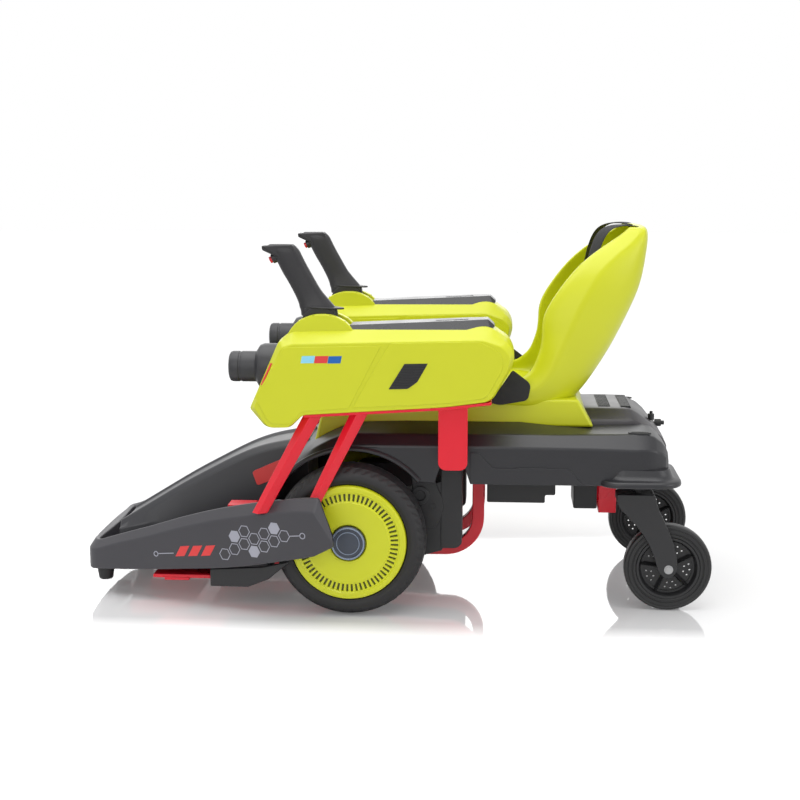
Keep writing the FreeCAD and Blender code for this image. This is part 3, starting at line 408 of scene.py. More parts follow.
# Casters. Each trails from an upright stem on a black pressed fork with a swept-back blade on each
# side; a zinc bolt and nut carry a small solid tyre on a rim with five ribs and drilled panels.
STEM = (-508, 185)
CASTER_HUB = Vector((-564, 185, 78))
fork_blade = [
    (-470, 213, 4), (-471, 194, 8), (-490, 172, 20), (-514, 148, 24), (-529, 122, 20), (-539, 98, 16),
    (-545, 74, 9), (-556, 62, 8), (-570, 61, 8), (-580, 76, 10), (-579, 100, 16), (-570, 132, 20),
    (-556, 163, 18), (-543, 188, 12), (-537, 213, 4),
]
half_caster_tyre = [
    (13.6, 56), (15, 57.6), (15, 61.6), (13.9, 62.4), (13.9, 63.6), (15, 64.4), (15, 70), (13.8, 70.8),
    (13.8, 72), (14.4, 73), (13.4, 76), (10, 77.6), (5, 78),
]
half_rim = [(15, 56), (15, 52), (13, 50.5), (5, 47.5), (5, 44)]
hub_tube = [(17, 6.05), (17, 13), (16, 14.5), (-16, 14.5), (-17, 13), (-17, 6.05)]


def rod(start, end, radius, sides=24):
    """A round or many-sided bar between two points."""
    form = bmesh.new()
    start, end = Vector(start), Vector(end)
    way = end - start
    stand = Matrix.Translation((start + end) / 2) @ way.to_track_quat("Z", "Y").to_matrix().to_4x4()
    bmesh.ops.create_cone(form, cap_ends=True, segments=sides, radius1=radius, radius2=radius, depth=way.length,
                          matrix=stand)
    return form


def drilled_disc(centre, radius, holes, hole_radius, thickness):
    """A round plate across Y with through holes at (x, z) from its centre."""
    form = bmesh.new()
    flat = Matrix.Rotation(math.pi / 2, 4, "X")
    low = Matrix.Translation(Vector(centre) - Vector((0, thickness / 2, 0)))
    bmesh.ops.create_circle(form, segments=60, radius=radius, matrix=low @ flat)
    for x, z in holes:
        bmesh.ops.create_circle(form, segments=10, radius=hole_radius,
                                matrix=low @ Matrix.Translation((x, 0, z)) @ flat)
    bmesh.ops.triangle_fill(form, use_beauty=True, edges=form.edges[:])
    return thickened(form, thickness)


# Solid caster rubber is a shade blacker and smoother than the tyres'; the fork has a fine black powder coat.
caster_rubber = grained("solid_caster_rubber", "#131314", "#1A1A1B", 0.46, 1.2, 0.08, drift=22)
rim_nylon = grained("black_rim_nylon", "#161617", "#1E1E20", 0.42, 1.0, 0.06, drift=18)
powder_coat = grained("black_powder_coat", "#1C1C1E", "#242426", 0.48, 1.1, 0.14, drift=40)
RIBS = 5
RIB_START = 28
RIB_TURN = 360 / RIBS
FORK_INSIDE, FORK_OUTSIDE = 18, 24
panel_holes, spokes = [], []
for rib in range(RIBS):
    start = RIB_START + RIB_TURN * rib
    for swing, reach in ((-9, 30), (9, 30), (-15, 38), (0, 40), (15, 38)):
        angle = math.radians(start + RIB_TURN / 2 + swing)
        panel_holes.append((-math.cos(angle) * reach, math.sin(angle) * reach))
    out = Vector((-math.cos(math.radians(start)), 0, math.sin(math.radians(start))))
    spoke = rod(CASTER_HUB + out * 13, CASTER_HUB + out * 48, 5, sides=4)
    bmesh.ops.scale(spoke, vec=(1, 2.4, 1), space=Matrix.Translation(-CASTER_HUB), verts=spoke.verts[:])
    spokes.append(spoke)
rim = merged(turned(CASTER_HUB, both_flanks(half_rim), hub_tube, steps=60),
             drilled_disc(CASTER_HUB, 46, panel_holes, 1.7, 5), *spokes)
crown = outline([(-537, 198, 4), (-537, 213, 3), (-470, 213, 3), (-470, 198, 4)], STEM[1] - 20, STEM[1] + 20)
fork = merged(outline(fork_blade, STEM[1] + FORK_INSIDE, STEM[1] + FORK_OUTSIDE),
              outline(fork_blade, STEM[1] - FORK_OUTSIDE, STEM[1] - FORK_INSIDE),
              crown, rod((*STEM, 206), (*STEM, 258), 6))
axle_bolt = turned(CASTER_HUB, [(24, 0.1), (24, 8), (25, 8), (25, 0.1)],
                   [(-25, 0.1), (-25, 8), (-24, 8), (-24, 0.1)], steps=32)
for low, high, radius, sides in ((-28.5, 29.5, 3.2, 24), (24.5, 28, 6.2, 6), (-28, -24.5, 6.2, 6)):
    bar = rod(CASTER_HUB + Vector((0, low, 0)), CASTER_HUB + Vector((0, high, 0)), radius, sides)
    axle_bolt = merged(axle_bolt, bar)
paired("caster_tyre_ring", turned(CASTER_HUB, both_flanks(half_caster_tyre), steps=72), caster_rubber, "caster_wheel",
       "rubber_tyre", "caster_tyre", corner=35)
paired("caster_ribbed_rim", rim, rim_nylon, "caster_wheel", "black_plastic", "caster_rim")
paired("caster_fork_blades", fork, powder_coat, "caster", "black_plastic", "caster_fork", rounding=1.6)
paired("caster_axle_bolt", axle_bolt, zinc_plate, "caster", "bare_steel", "caster_bolt", rounding=0.6)

# Nose guard. One blow-moulded ring of dark grey polyethylene goes round the feet: a rim across the
# nose and an arm along each side that rises to the front wheel, with a creased shoulder along its top.
guard_polyethylene = grained("dark_grey_polyethylene", "#3E3D42", "#38373C", 0.4, 2.0, 0.10, drift=140)
WHEEL_ROOM = 141
WHEEL_ROOM_Y = 289
ARM_START = Vector((494, 162, 0))
ARM_WAY = Vector((-0.93606, 0.35184, 0))
ARM_INWARD = Vector((-0.35184, -0.93606, 0))


def eased(rows, cuts):
    """Rows of numbers with smooth ones set between them."""
    result = []
    for place in range(len(rows) - 1):
        four = [rows[min(max(place + step, 0), len(rows) - 1)] for step in (-1, 0, 1, 2)]
        for cut in range(cuts):
            t = cut / cuts
            result.append([b + 0.5 * t * (c - a + t * (2 * a - 5 * b + 4 * c - d + t * (3 * b - a - 3 * c + d)))
                           for a, b, c, d in zip(*four)])
    return result + [list(rows[-1])]


def lofted(rings, first_end=True):
    """A skin over rings of points, closed at its last end and closed or open at its first."""
    form = bmesh.new()
    loops = [[form.verts.new(point) for point in ring] for ring in rings]
    for first, second in zip(loops, loops[1:]):
        for place in range(len(first)):
            after = (place + 1) % len(first)
            form.faces.new((first[place], first[after], second[after], second[place]))
    if first_end:
        form.faces.new(loops[0])
    form.faces.new(loops[-1])
    return form


def guard_ring(outer, inner_low, inner_top, low, ridge, top):
    """One section of the guard: outer face up to its crease, sloped band, flat top and inner wall."""
    up = Vector((0, 0, 1))
    shoulder = outer + (inner_top - outer).normalized() * min(17, (inner_top - outer).length * 0.7)
    return [outer + up * low, outer + up * ridge, shoulder + up * top, inner_top + up * (top - 3),
            inner_low + up * low]


BAND_SHARE = 0.64
nose_rows = [
    # outer x, y; inner x, y
    (510, 0, 465, 0), (509, 52, 467, 44), (505, 104, 472, 82), (501, 140, 476, 104), (497, 153, 477, 112),
    (490, 162, 474, 118),
]
arm_rows = [
    # run from the nose; heights of the low edge, the crease and the top; width
    (14, 47, 85, 101, 45), (64, 52, 102, 118, 45), (128, 59, 121, 139, 45), (200, 68.5, 145, 164, 45),
    (278, 79, 167, 187, 45), (346, 92, 182, 203, 45), (404, 106, 193, 215, 45), (450, 117, 199, 222, 44),
]
# The arm's end is cut straight, so its last two rows aren't eased.
arm_end_rows = [(470, 122.8, 200, 223.5, 38), (506, 143, 152, 161, 8)]
guard_rings = []
for outer_x, outer_y, inner_x, inner_y in nose_rows:
    inner = Vector((inner_x, inner_y, 0))
    outer = Vector((outer_x, outer_y, 0))
    guard_rings.append(guard_ring(outer, inner, outer.lerp(inner, BAND_SHARE), 46, 83, 99))
for run, low, ridge, top, width in eased(arm_rows, 4) + arm_end_rows:
    outer = ARM_START + ARM_WAY * run
    inners = []
    for z, share in ((WHEEL_Z, 1), (top, BAND_SHARE)):
        # The inner side keeps clear of the tyre, either ahead of it or outside its face.
        reach = math.sqrt(max(WHEEL_ROOM ** 2 - (z - WHEEL_Z) ** 2, 0))
        ahead = (outer.x - reach) / -ARM_INWARD.x
        beside = (outer.y - WHEEL_ROOM_Y) / -ARM_INWARD.y
        inners.append(outer + ARM_INWARD * min(width * share, max(ahead, beside, 5)))
    guard_rings.append(guard_ring(outer, inners[0], inners[1], low, ridge, top))
piece("nose_guard", with_twin(lofted(guard_rings, first_end=False)), guard_polyethylene, "chassis", "grey_plastic",
      ["nose_rim", "guard_arms"], rounding=3, corner=24)
recast("under_panels", "side_panels", case_nylon, "black_plastic", 2)

# Arm stickers. Printed vinyl on the outer face of each arm: grey hexagons, some filled, and three red
# slanted bars, with a thin line that ends in a ring.
vinyl_grey = grained("silver_grey_vinyl", "#A9AAB6", "#A2A3AF", 0.3, 2.0, 0.02, drift=60)
vinyl_red = grained("red_vinyl", "#E8403F", "#E03838", 0.3, 2.0, 0.02, drift=60)
arm_face = Matrix.Translation((494, 162, 0)) @ Matrix.Rotation(math.radians(159.4), 4, "Z")
on_face = Matrix.Rotation(math.pi / 2, 4, "X")
VINYL = 0.35
HEXAGON = 11.6
COLUMN_STEP, ROW_STEP = 20, 23


def ring_mark(run, z, radius, width, sides):
    """A printed ring or polygon outline on the arm's face; with no width it is filled."""
    form = bmesh.new()
    place = Matrix.Translation((run, 0, z)) @ on_face @ Matrix.Rotation(math.pi / 6, 4, "Z")
    bmesh.ops.create_circle(form, segments=sides, radius=radius, cap_ends=not width, matrix=place)
    if width:
        bmesh.ops.create_circle(form, segments=sides, radius=radius - width, matrix=place)
        bmesh.ops.bridge_loops(form, edges=form.edges[:])
    return thickened(form, -VINYL)


hexagons = [
    # column, row and line width; a hexagon with no line width is filled
    (0, 0, 1.5), (1, 0, 1.5), (1, 1, 0), (2, 1, 1.5), (2, 2, 1.5), (3, 1, 1.5), (3, 0, 0), (4, 2, 1.5), (4, 1, 1.5),
    (5, 1, 1.5), (5, 2, 0), (6, 2, 1.5),
]
grey_marks = merged(*[ring_mark(292 + place * COLUMN_STEP, 107 + (row + place % 2 / 2) * ROW_STEP, HEXAGON, width, 6)
                      for place, row, width in hexagons])
grey_marks = merged(grey_marks, ring_mark(448, 157, 5.6, 1.5, 24),
                    outline([(423.5, 153.4), (423.5, 154.9), (442.6, 157.4), (442.6, 155.9)], -VINYL, 0),
                    ring_mark(146, 91, 5, 1.5, 24),
                    outline([(151, 91.3), (151, 92.8), (184, 97.4), (184, 95.9)], -VINYL, 0))
red_marks = merged(*[outline([(run, z), (run + 19, z + 3), (run + 30, z + 23), (run + 11, z + 20)], -VINYL, 0)
                     for run, z in ((188, 91), (215, 94.5), (242, 98))])
for name, marks, vinyl in (("arm_hexagons", grey_marks, vinyl_grey), ("arm_red_bars", red_marks, vinyl_red)):
    bmesh.ops.transform(marks, matrix=arm_face, verts=marks.verts[:])
    piece(name, with_twin(marks), vinyl, "chassis", "grey_plastic")

# Foot wells. A black floor lies on the rails, with low ribs under each foot; a tapered cover runs
# between the feet up to the seat base, and three short rubber posts stand under the nose.
well_plastic = grained("black_grained_polypropylene", "#262628", "#2C2C2F", 0.5, 1.8, 0.16, drift=70)
ribs = [outline([(x, 69), (x, 72.5, 1), (x + 7, 72.5, 1), (x + 7, 69)], 96, 132 + (400 - x) * 0.28)
        for x in range(180, 410, 19)]
piece("foot_floor_ribbed", with_twin(merged(*ribs)), well_plastic, "chassis", "black_plastic")
recast("foot_floor_panel", "foot_floor", well_plastic, "black_plastic", 2)
cover_plastic = grained("satin_black_polypropylene", "#37373B", "#303034", 0.34, 1.8, 0.07, drift=110)


def ring_across(x, half):
    """A ring across the car at x, from the (y, z) points of its left half, the first on the middle."""
    return [(x, y, z) for y, z in half] + [(x, -y, z) for y, z in reversed(half[1:])]


crest_rows = [
    # x and the height of the rim along the top
    (461, 115), (404, 150), (338, 190), (285, 219), (239, 243), (203, 259), (167, 270), (130, 277), (96, 281),
]
divider_rings = []
for x, z in eased(crest_rows, 3):
    divider_rings.append(ring_across(x, [(0, z - 5), (50, z - 5), (54, z), (62, z - 1), (70, z - 12),
                                         (79, z * 0.35 + 62), (84, 69)]))
piece("foot_divider", lofted(divider_rings), cover_plastic, "chassis", "grey_plastic", ["centre_fairing"],
      rounding=2.4, steps=4, corner=16)
patch = outline([(203, 216, 5), (193, 190, 4), (120, 219, 4), (126, 250, 5)], 74.6, 76.2)
for vert in patch.verts:
    vert.co.y -= (vert.co.z - 215) * 0.09
piece("divider_patch", with_twin(patch), vinyl_red, "chassis", "grey_plastic")
posts = [turned((x, y, 0), [(25, 0.1), (25, 11.5), (27, 13), (47, 16), (50, 16), (50, 0.1)], steps=32, axle=(0, 0, 1))
         for x, y in ((469, 148), (477, 0), (469, -148))]
piece("nose_posts", merged(*posts), tyre_rubber, "chassis", "black_plastic", ["nose_feet"])

# Deck. The lower body is a large blow-moulded shell in the same dark grey: an arch over the front
# wheels, a skirt to the tail, and a flared lip over each caster.
deck_polyethylene = grained("satin_grey_polyethylene", "#232327", "#1E1E22", 0.36, 2.0, 0.09, drift=150)
ARCH = 156
SKIRT_WALL = 14
THIN_EDGE = 0.4


def deck_ring(x, angle, half, low, crease, ledge_y, ledge, top_y, top, ceiling):
    """One section across the deck, or across the wheel arch where the angle turns it about the axle."""
    profile = [(0, top), (top_y, top), (ledge_y, ledge), (half, crease), (half, low), (half - SKIRT_WALL, low),
               (half - SKIRT_WALL, ceiling), (0, ceiling)]
    both = profile + [(-y, height) for y, height in reversed(profile[1:-1])]
    if angle is None:
        return [(x, y, height) for y, height in both]
    across, up = math.sin(math.radians(angle)), math.cos(math.radians(angle))
    return [(across * height, y, WHEEL_Z + up * height) for y, height in both]


arch_rows = [
    # angle ahead of the axle's upright; distances from the axle of the crease, the ledge and the top
    (114, 162, 165, 166), (92, 162, 165, 167), (64, 162, 165, 167), (44, 162, 165.5, 168), (30, 162, 167, 172),
    (18, 162, 172, 178), (8, 162.5, 179, 185),
]
deck_rows = [
    # x; half width; heights of the low edge, the crease, the ledge with its y, the top with its y, the ceiling
    (-8, 225, 0, 298, 207, 317, 160, 328, 0), (-60, 225, 0, 298, 206, 317, 152, 330, 0),
    (-100, 225, 0, 298, 206, 317, 150, 331, 0), (-122, 225, 232, 298, 206, 317, 150, 331, 263),
    (-148, 225, 232, 298, 206, 317, 150, 331, 263), (-158, 225, 262, 298, 206, 317, 150, 331, 266),
    (-201, 225, 262, 298, 206, 317, 150, 331, 266), (-211, 225, 231, 298, 206, 317, 150, 331, 266),
    (-299, 225, 231, 298, 206, 317.5, 152, 331, 266), (-360, 225, 231, 297.5, 205, 318, 164, 325, 266),
    (-426, 225, 231, 297, 204, 319.5, 176, 320.5, 266), (-500, 225, 232, 295, 203, 321, 178, 322, 266),
    (-520, 223, 232, 295, 202, 320.5, 176, 321.5, 266), (-535, 218, 232, 293, 198, 315, 170, 317, 262),
    (-547, 210, 232, 288, 192, 305, 164, 307, 256), (-556, 200, 232, 280, 184, 294, 156, 296, 250),
    (-561, 188, 233, 270, 176, 282, 150, 283, 245),
]
deck_rings = []
for angle, crease, ledge, top in eased(arch_rows, 2):
    deck_rings.append(deck_ring(0, angle, 225, ARCH, crease, 212, ledge, 175, top, ARCH + THIN_EDGE))
for x, half, low, crease, ledge_y, ledge, top_y, top, ceiling in deck_rows:
    arch_low = WHEEL_Z + math.sqrt(ARCH ** 2 - x ** 2) if not low else low
    deck_rings.append(deck_ring(x, None, half, arch_low, crease, ledge_y, ledge, top_y, top,
                                ceiling or arch_low + THIN_EDGE))
piece("deck_shell", lofted(deck_rings), deck_polyethylene, "chassis", "grey_plastic", ["lower_body"], rounding=3.5,
      steps=4, corner=18)
# Trim moulded on the skirt: a rolled lip along the wheel arch, a raised panel with a bar, and an oval cup.
arch_lip = bmesh.new()
lip_section = [(219, 163), (227, 162), (230, 158.5), (230, 154.5), (226, 153), (219, 154)]
lip_corners, lip_edges = wire(arch_lip, [(0, y, WHEEL_Z + radius) for y, radius in lip_section])
bmesh.ops.rotate(arch_lip, cent=(0, 0, WHEEL_Z), matrix=Matrix.Rotation(math.radians(-50), 3, "Y"), verts=lip_corners)
bmesh.ops.spin(arch_lip, geom=lip_corners + lip_edges, cent=(0, 0, WHEEL_Z), axis=(0, 1, 0), angle=math.radians(160),
               steps=60)
panel = outline([(-211, 288), (-228, 288, 4), (-241, 270, 12), (-253, 261, 8), (-385, 261, 3), (-409, 232),
                 (-211, 232)], 224, 227)
bar = outline([(-293, 258.5, 1.4), (-293, 262.5, 1.4), (-345, 262.5, 1.4), (-345, 258.5, 1.4)], 224, 227.4)
piece("deck_trim", with_twin(merged(arch_lip, panel, bar)), deck_polyethylene, "chassis", "grey_plastic",
      rounding=0.7, steps=2)
cup = turned((-508, 196, 0), [(320, 15), (323, 15), (323, 12), (321.8, 11), (321.8, 0.1)], steps=40, open_ends=True,
             axle=(0, 0, 1))
bmesh.ops.scale(cup, vec=(1.35, 0.5, 1), space=Matrix.Translation((508, -196, 0)), verts=cup.verts[:])
piece("deck_cups", with_twin(cup), case_nylon, "chassis", "black_plastic")


def rounded_ring(centre, half_x, half_y, corner, z):
    """Points round a rounded rectangle at one height."""
    ring = []
    for quarter, (turn_x, turn_y) in enumerate(((1, 1), (-1, 1), (-1, -1), (1, -1))):
        for step in range(9):
            angle = math.radians(90 * quarter + step * 90 / 8)
            ring.append((centre[0] + turn_x * (half_x - corner) + corner * math.cos(angle),
                         centre[1] + turn_y * (half_y - corner) + corner * math.sin(angle), z))
    return ring


lip_rings = [rounded_ring((-508, 146), 74 - inset, 100 - inset, 42 - inset * 0.6, z) for z, inset in
             ((231, 3), (232.5, 0.8), (236, 0), (240, 0.8), (242, 3), (243, 9), (245, 14), (252, 17), (260, 20))]
piece("caster_lips", with_twin(lofted(lip_rings)), deck_polyethylene, "chassis", "grey_plastic", corner=50)

# Seat base. A lime tub carries the bucket seat on the deck and ends in a fin at each side behind it.
recast("seat_base", "cockpit_tub", lime_polypropylene, "lime_plastic", 6, steps=4)

# Bucket seat. Blow-moulded lime shell for one child: a flat pan with low sides that sweeps up into a
# back with deep side wings, each with a soft crease where the flank turns in to the front edge.
seat_stations = [
    # outer point x, z; direction of the hollow in degrees from forwards; shell; crease; edge; half widths
    (-56, 374, 90, 13, 12, 18, 150, 157, 154),
    (-60, 372, 90, 15, 14, 22, 154, 160, 156),
    (-150, 366, 90, 21, 18, 29, 154, 160, 156),
    (-240, 357, 90, 30, 24, 39, 152, 160, 156),
    (-300, 347, 84, 38, 36, 56, 148, 160, 154),
    (-350, 340, 58, 40, 58, 86, 140, 160, 150),
    (-388, 356, 46, 36, 66, 98, 130, 160, 148),
    (-416, 385, 34, 28, 74, 108, 124, 160, 146),
    (-441, 422, 22, 24, 84, 116, 120, 160, 144),
    (-466, 464, 12, 20, 90, 134, 118, 160, 142),
    (-490, 514, 3, 19, 98, 156, 118, 160, 141),
    (-513, 565, 0, 19, 100, 152, 118, 158, 140),
    (-521, 604, 0, 19, 84, 130, 116, 150, 134),
    (-525, 634, 0, 20, 56, 100, 112, 134, 126),
    (-528, 656, 0, 20, 30, 66, 104, 116, 110),
    (-527, 671, 0, 19, 18, 44, 98, 106, 102),
    (-521, 679, 0, 18, 12, 30, 90, 96, 94),
]
SKIN = 14
CREASE_LINES = (4, -4)


def smoothed(made):
    """Smooths a piece by two rounds of subdivision."""
    smooth = made.modifiers.new("smoothing", "SUBSURF")
    smooth.levels = smooth.render_levels = 2


seat_rings = []
for x, z, aim, shell, crease, edge, half_back, half_crease, half_edge in seat_stations:
    way = Vector((math.cos(math.radians(aim)), 0, math.sin(math.radians(aim))))
    between = (crease + edge) / 2
    flank = half_back * 0.35 + half_crease * 0.65
    wing = half_crease * 0.6 + half_edge * 0.4
    side_points = [
        (0, half_back * 0.55), (min(6, crease * 0.3), half_back), (crease * 0.55, flank), (crease, half_crease),
        (between, wing), (edge, half_edge), (edge, half_edge - SKIN), (between, wing - SKIN),
        (max(crease, shell), half_crease - SKIN), (max(crease * 0.6, shell), flank - SKIN),
        (shell, half_back - SKIN), (shell, (half_back - SKIN) * 0.55),
    ]
    half_ring = [(0, 0)] + side_points + [(shell, 0)]
    full_ring = half_ring + [(reach, -across) for reach, across in reversed(side_points)]
    seat_rings.append([Vector((x, across, z)) + way * reach for reach, across in full_ring])
seat = lofted(seat_rings)
crease_layer = seat.edges.layers.float.new("crease_edge")
corners = seat.verts[:]
around = len(full_ring)
for start in range(0, len(corners) - around, around):
    for line in CREASE_LINES:
        lower = start + line % around
        seat.edges.get((corners[lower], corners[lower + around]))[crease_layer] = 0.8
smoothed(piece("bucket_seat", seat, lime_polypropylene, "chassis", "lime_plastic", ["seat_shell"], corner=80))

# Harness. Flat black webbing: two shoulder straps come over the top of the back and down to the pan,
# and a wide lap belt comes out at each hip.
webbing = bpy.data.materials.new("woven_black_webbing")
webbing.use_nodes = True
tree = webbing.node_tree
shader = tree.nodes["Principled BSDF"]
where = add_node(tree, "ShaderNodeTexCoord", {}).outputs["Object"]
# Real threads are half a millimetre apart; they are drawn at 2 mm so that the render shows them.
warp, weft = [add_node(tree, "ShaderNodeTexWave", {"Vector": where, "Scale": 160.0, "Distortion": 0.4},
                       wave_type="BANDS", bands_direction=way).outputs["Fac"] for way in ("Y", "Z")]
weave = worked_out(tree, "MULTIPLY", warp, weft)
thread = add_node(tree, "ShaderNodeMix", {0: weave, 6: linear("#1B1B1D"), 7: linear("#37373B")}, data_type="RGBA")
relief = add_node(tree, "ShaderNodeBump", {"Height": weave, "Strength": 0.5, "Distance": 0.0004})
tree.links.new(thread.outputs[2], shader.inputs["Base Color"])
tree.links.new(relief.outputs[0], shader.inputs["Normal"])
shader.inputs["Roughness"].default_value = 0.78


def webbing_strip(path, y_low, y_high, turn):
    """A flat strap along (x, z) points, one edge at each y, its high edge set back by the turn."""
    form = bmesh.new()
    x, z = path[0]
    points = [(x - turn * share, y_low + (y_high - y_low) * share, z) for share in (0, 0.5, 1)]
    _, edges = wire(form, points, closed=False)
    for (x, z), (next_x, next_z) in zip(path, path[1:]):
        grown = bmesh.ops.extrude_edge_only(form, edges=edges)
        edges = [item for item in grown["geom"] if isinstance(item, bmesh.types.BMEdge)]
        ends = list({vert for edge in edges for vert in edge.verts})
        bmesh.ops.translate(form, verts=ends, vec=(next_x - x, 0, next_z - z))
    return form


strap_path = [(-503, 650), (-505, 668), (-496, 679), (-480, 681), (-462, 680.5), (-446, 676), (-433, 664),
              (-423, 640), (-416, 604), (-405, 560), (-395, 520), (-388, 470), (-384, 430), (-381, 398)]
straps = piece("shoulder_webbing", with_twin(webbing_strip(strap_path, 41, 79, 16)), webbing, "chassis", "webbing",
               ["shoulder_straps"], corner=80)
# The belt slots are thin black nylon slabs on the seat's inner wings, not holes: painted shade for the openings.
belt_slot_shade = outline([(-318, 382, 6), (-326, 369, 6), (-350, 388, 8), (-346, 400, 6)], -146, -130)
piece("seat_slot_painted_shade", with_twin(belt_slot_shade), case_nylon, "chassis", "black_plastic")
lap = outline([(-284, 427, 4), (-317, 402, 8), (-312, 372, 8), (-262, 363, 6), (-244, 367, 3)], 160.5, 163.5)
piece("lap_webbing", with_twin(lap), webbing, "chassis", "webbing", ["lap_belts"], rounding=1.2)
cloth_depth = straps.modifiers.new("thickness", "SOLIDIFY")
cloth_depth.thickness = 2.4 * MM
cloth_depth.offset = -1
smoothed(straps)

# Hump. A separate grey cover closes the deck behind the seat, with two slotted vents across its top
# and a switch and a charging cap on its back slope.
hump_plastic = grained("warm_grey_polypropylene", "#363337", "#302D31", 0.36, 1.8, 0.1, drift=80)
hump_rows = [
    # x; heights of the top and of the foot; half widths of the top and of the foot
    (-400, 346, 316, 86, 112), (-440, 347, 316, 86, 112), (-490, 346.5, 316, 85, 112), (-506, 343, 315, 84, 112),
    (-524, 331, 306, 82, 111), (-545, 313, 294, 80, 110), (-559, 299, 284, 78, 109), (-566, 284, 270, 76, 108),
]
hump_rings = []
for x, top, foot, half_top, half_foot in eased(hump_rows, 2):
    hump_rings.append(ring_across(x, [(0, top), (half_top - 8, top), (half_top, top - 1.5),
                                      (half_foot - 4, foot + 12), (half_foot, foot)]))
piece("tail_hump", lofted(hump_rings), hump_plastic, "chassis", "grey_plastic", ["rear_cover"], rounding=4,
      steps=4, corner=28)
slats = []
for front, back in ((-443, -466), (-484, -503)):
    slats.append(outline([(front, 345), (front, 347.4, 0.3), (back, 347.2, 0.3), (back, 345)], -68, 68))
    for count in range(8):
        x = front - 1.5 - count * (front - back - 3) / 8
        slats.append(outline([(x, 347), (x, 348.2), (x - 1.2, 348.2), (x - 1.2, 347)], -66, 66))
    for count in range(23):
        y = -66 + count * 6
        slats.append(outline([(front - 1, 347), (front - 1, 348.1), (back + 1, 347.9), (back + 1, 347)],
                             y - 0.6, y + 0.6))
piece("vent_slats", merged(*slats), case_nylon, "chassis", "black_plastic", ["rear_grilles"])
upright = merged(rod((-545, 22, 315), (-545, 22, 327), 6), rod((-545, 22, 320), (-545, 22, 332), 3))
lying = merged(rod((-556, -18, 303), (-568, -18, 303), 7), rod((-560, -18, 303), (-574, -18, 303), 4))
piece("tail_controls", merged(upright, lying), case_nylon, "chassis", "black_plastic", ["rear_pegs"], rounding=0.8)

# Arm pods. Lime shells beside the seat, one for each forearm: a sloped shoulder along the top, a
# chamfered front corner, two panels with a slanted seam on the outer side, and a domed lever slot.
POD_Y = 225
pod_flank = [(171, 371, 5), (142, 337, 12), (100, 338, 7), (76, 362, 8), (-165, 378, 20), (-248, 388, 12),
             (-282, 446, 10), (-287, 469, 10)]
pod_sections = [
    # distance from the pod's middle, then the (x, z, rounding) corners of its side view there
    (60, [(161, 374, 5), (138, 339, 12), (102, 340, 7), (77, 362, 8), (-165, 378, 20), (-245, 389, 12),
          (-276, 446, 9), (-280, 466, 8), (-266, 482, 9), (-232, 494, 12), (94, 485, 5), (112, 479, 6)]),
    (47, pod_flank + [(-275, 490, 10), (-238, 503, 12), (96, 494, 5), (119, 488, 6)]),
    (29, pod_flank + [(-277, 492, 10), (-243, 515, 12), (98, 506, 5), (120, 488, 6)]),
]


def rounded(corners, cuts=5):
    """The corners of a side view, each eased over its rounding with a few points."""
    result = []
    for place, (x, z, reach) in enumerate(corners):
        here = Vector((x, z))
        before = (Vector(corners[place - 1][:2]) - here).normalized() * reach
        after = (Vector(corners[(place + 1) % len(corners)][:2]) - here).normalized() * reach
        result += [here + before * (1 - step / cuts) ** 2 + after * (step / cuts) ** 2 for step in range(cuts + 1)]
    return result


def on_both_faces(corners, near, far):
    """A slab on the outer face of the pod and its like on the inner face, at distances from its middle."""
    return merged(outline(corners, POD_Y + near, POD_Y + far), outline(corners, POD_Y - far, POD_Y - near))


pod_rings = [[(x, POD_Y + out, z) for x, z in rounded(corners)] for out, corners in pod_sections]
pod_rings += [[(x, 2 * POD_Y - y, z) for x, y, z in ring] for ring in reversed(pod_rings)]
cheek = [(106, 498), (95, 516, 12), (74, 530, 14), (46, 535, 16), (18, 530, 14), (-3, 516, 12), (-12, 500)]
front_panel = [(159, 393, 5), (108, 479, 4), (-59, 484), (-3, 375), (76, 369, 5), (99, 346, 8), (135, 346, 10)]
rear_panel = [(-64, 472), (-76, 488, 4), (-226, 492, 8), (-262, 474, 8), (-269, 450, 12), (-239, 395, 10),
              (-165, 385, 8), (-9, 376)]
paired("arm_pod", merged(lofted(pod_rings), on_both_faces(cheek, 18, 33)), lime_polypropylene, "chassis",
       "lime_plastic", "pod", rounding=2, steps=3, corner=26)
paired("pod_panels", merged(on_both_faces(front_panel, 58, 61.3), on_both_faces(rear_panel, 58, 61.3)),
       lime_polypropylene, "chassis", "lime_plastic", rounding=0.8, steps=2)

# Pod trim. On each pod: a grey arm pad over the ridge, black louvres in a slanted recess, three colour
# bars and a red strip in vinyl, and a dummy lamp barrel on the front face.
pad_rubber = grained("grey_soft_touch_elastomer", "#2F2F32", "#29292C", 0.26, 1.6, 0.1, drift=60)
pad_rings = []
pad_rows = [
    # x at the foot and the top; half widths there; heights there
    (-8, -2, 37, 25, 499, 515), (-204, -204, 37, 25, 508, 524.5), (-245, -240, 27, 20, 511, 526),
    (-252, -250, 21, 18, 513, 517),
]
for low_x, top_x, low_half, top_half, low_z, top_z in pad_rows:
    half = [(low_x, low_half, low_z), (top_x, top_half, top_z)]
    pad_rings.append([(x, POD_Y + out, z) for x, out, z in half] + [(x, POD_Y - out, z) for x, out, z in half[::-1]])
slot_line = outline([(-150, 521), (-150, 522.6, 0.4), (-206, 525.4, 0.4), (-206, 523)], POD_Y - 10, POD_Y + 10)
piece("arm_pad_covers", with_twin(merged(lofted(pad_rings), slot_line)), pad_rubber, "chassis", "grey_plastic",
      ["arm_pads"], rounding=1.4, corner=20)
vent_edge = [(-72, 409, 1), (-105, 410, 3), (-121, 422, 2), (-139, 454, 1), (-99, 453, 1)]
louvres = [on_both_faces(vent_edge, 57, 61.8)]
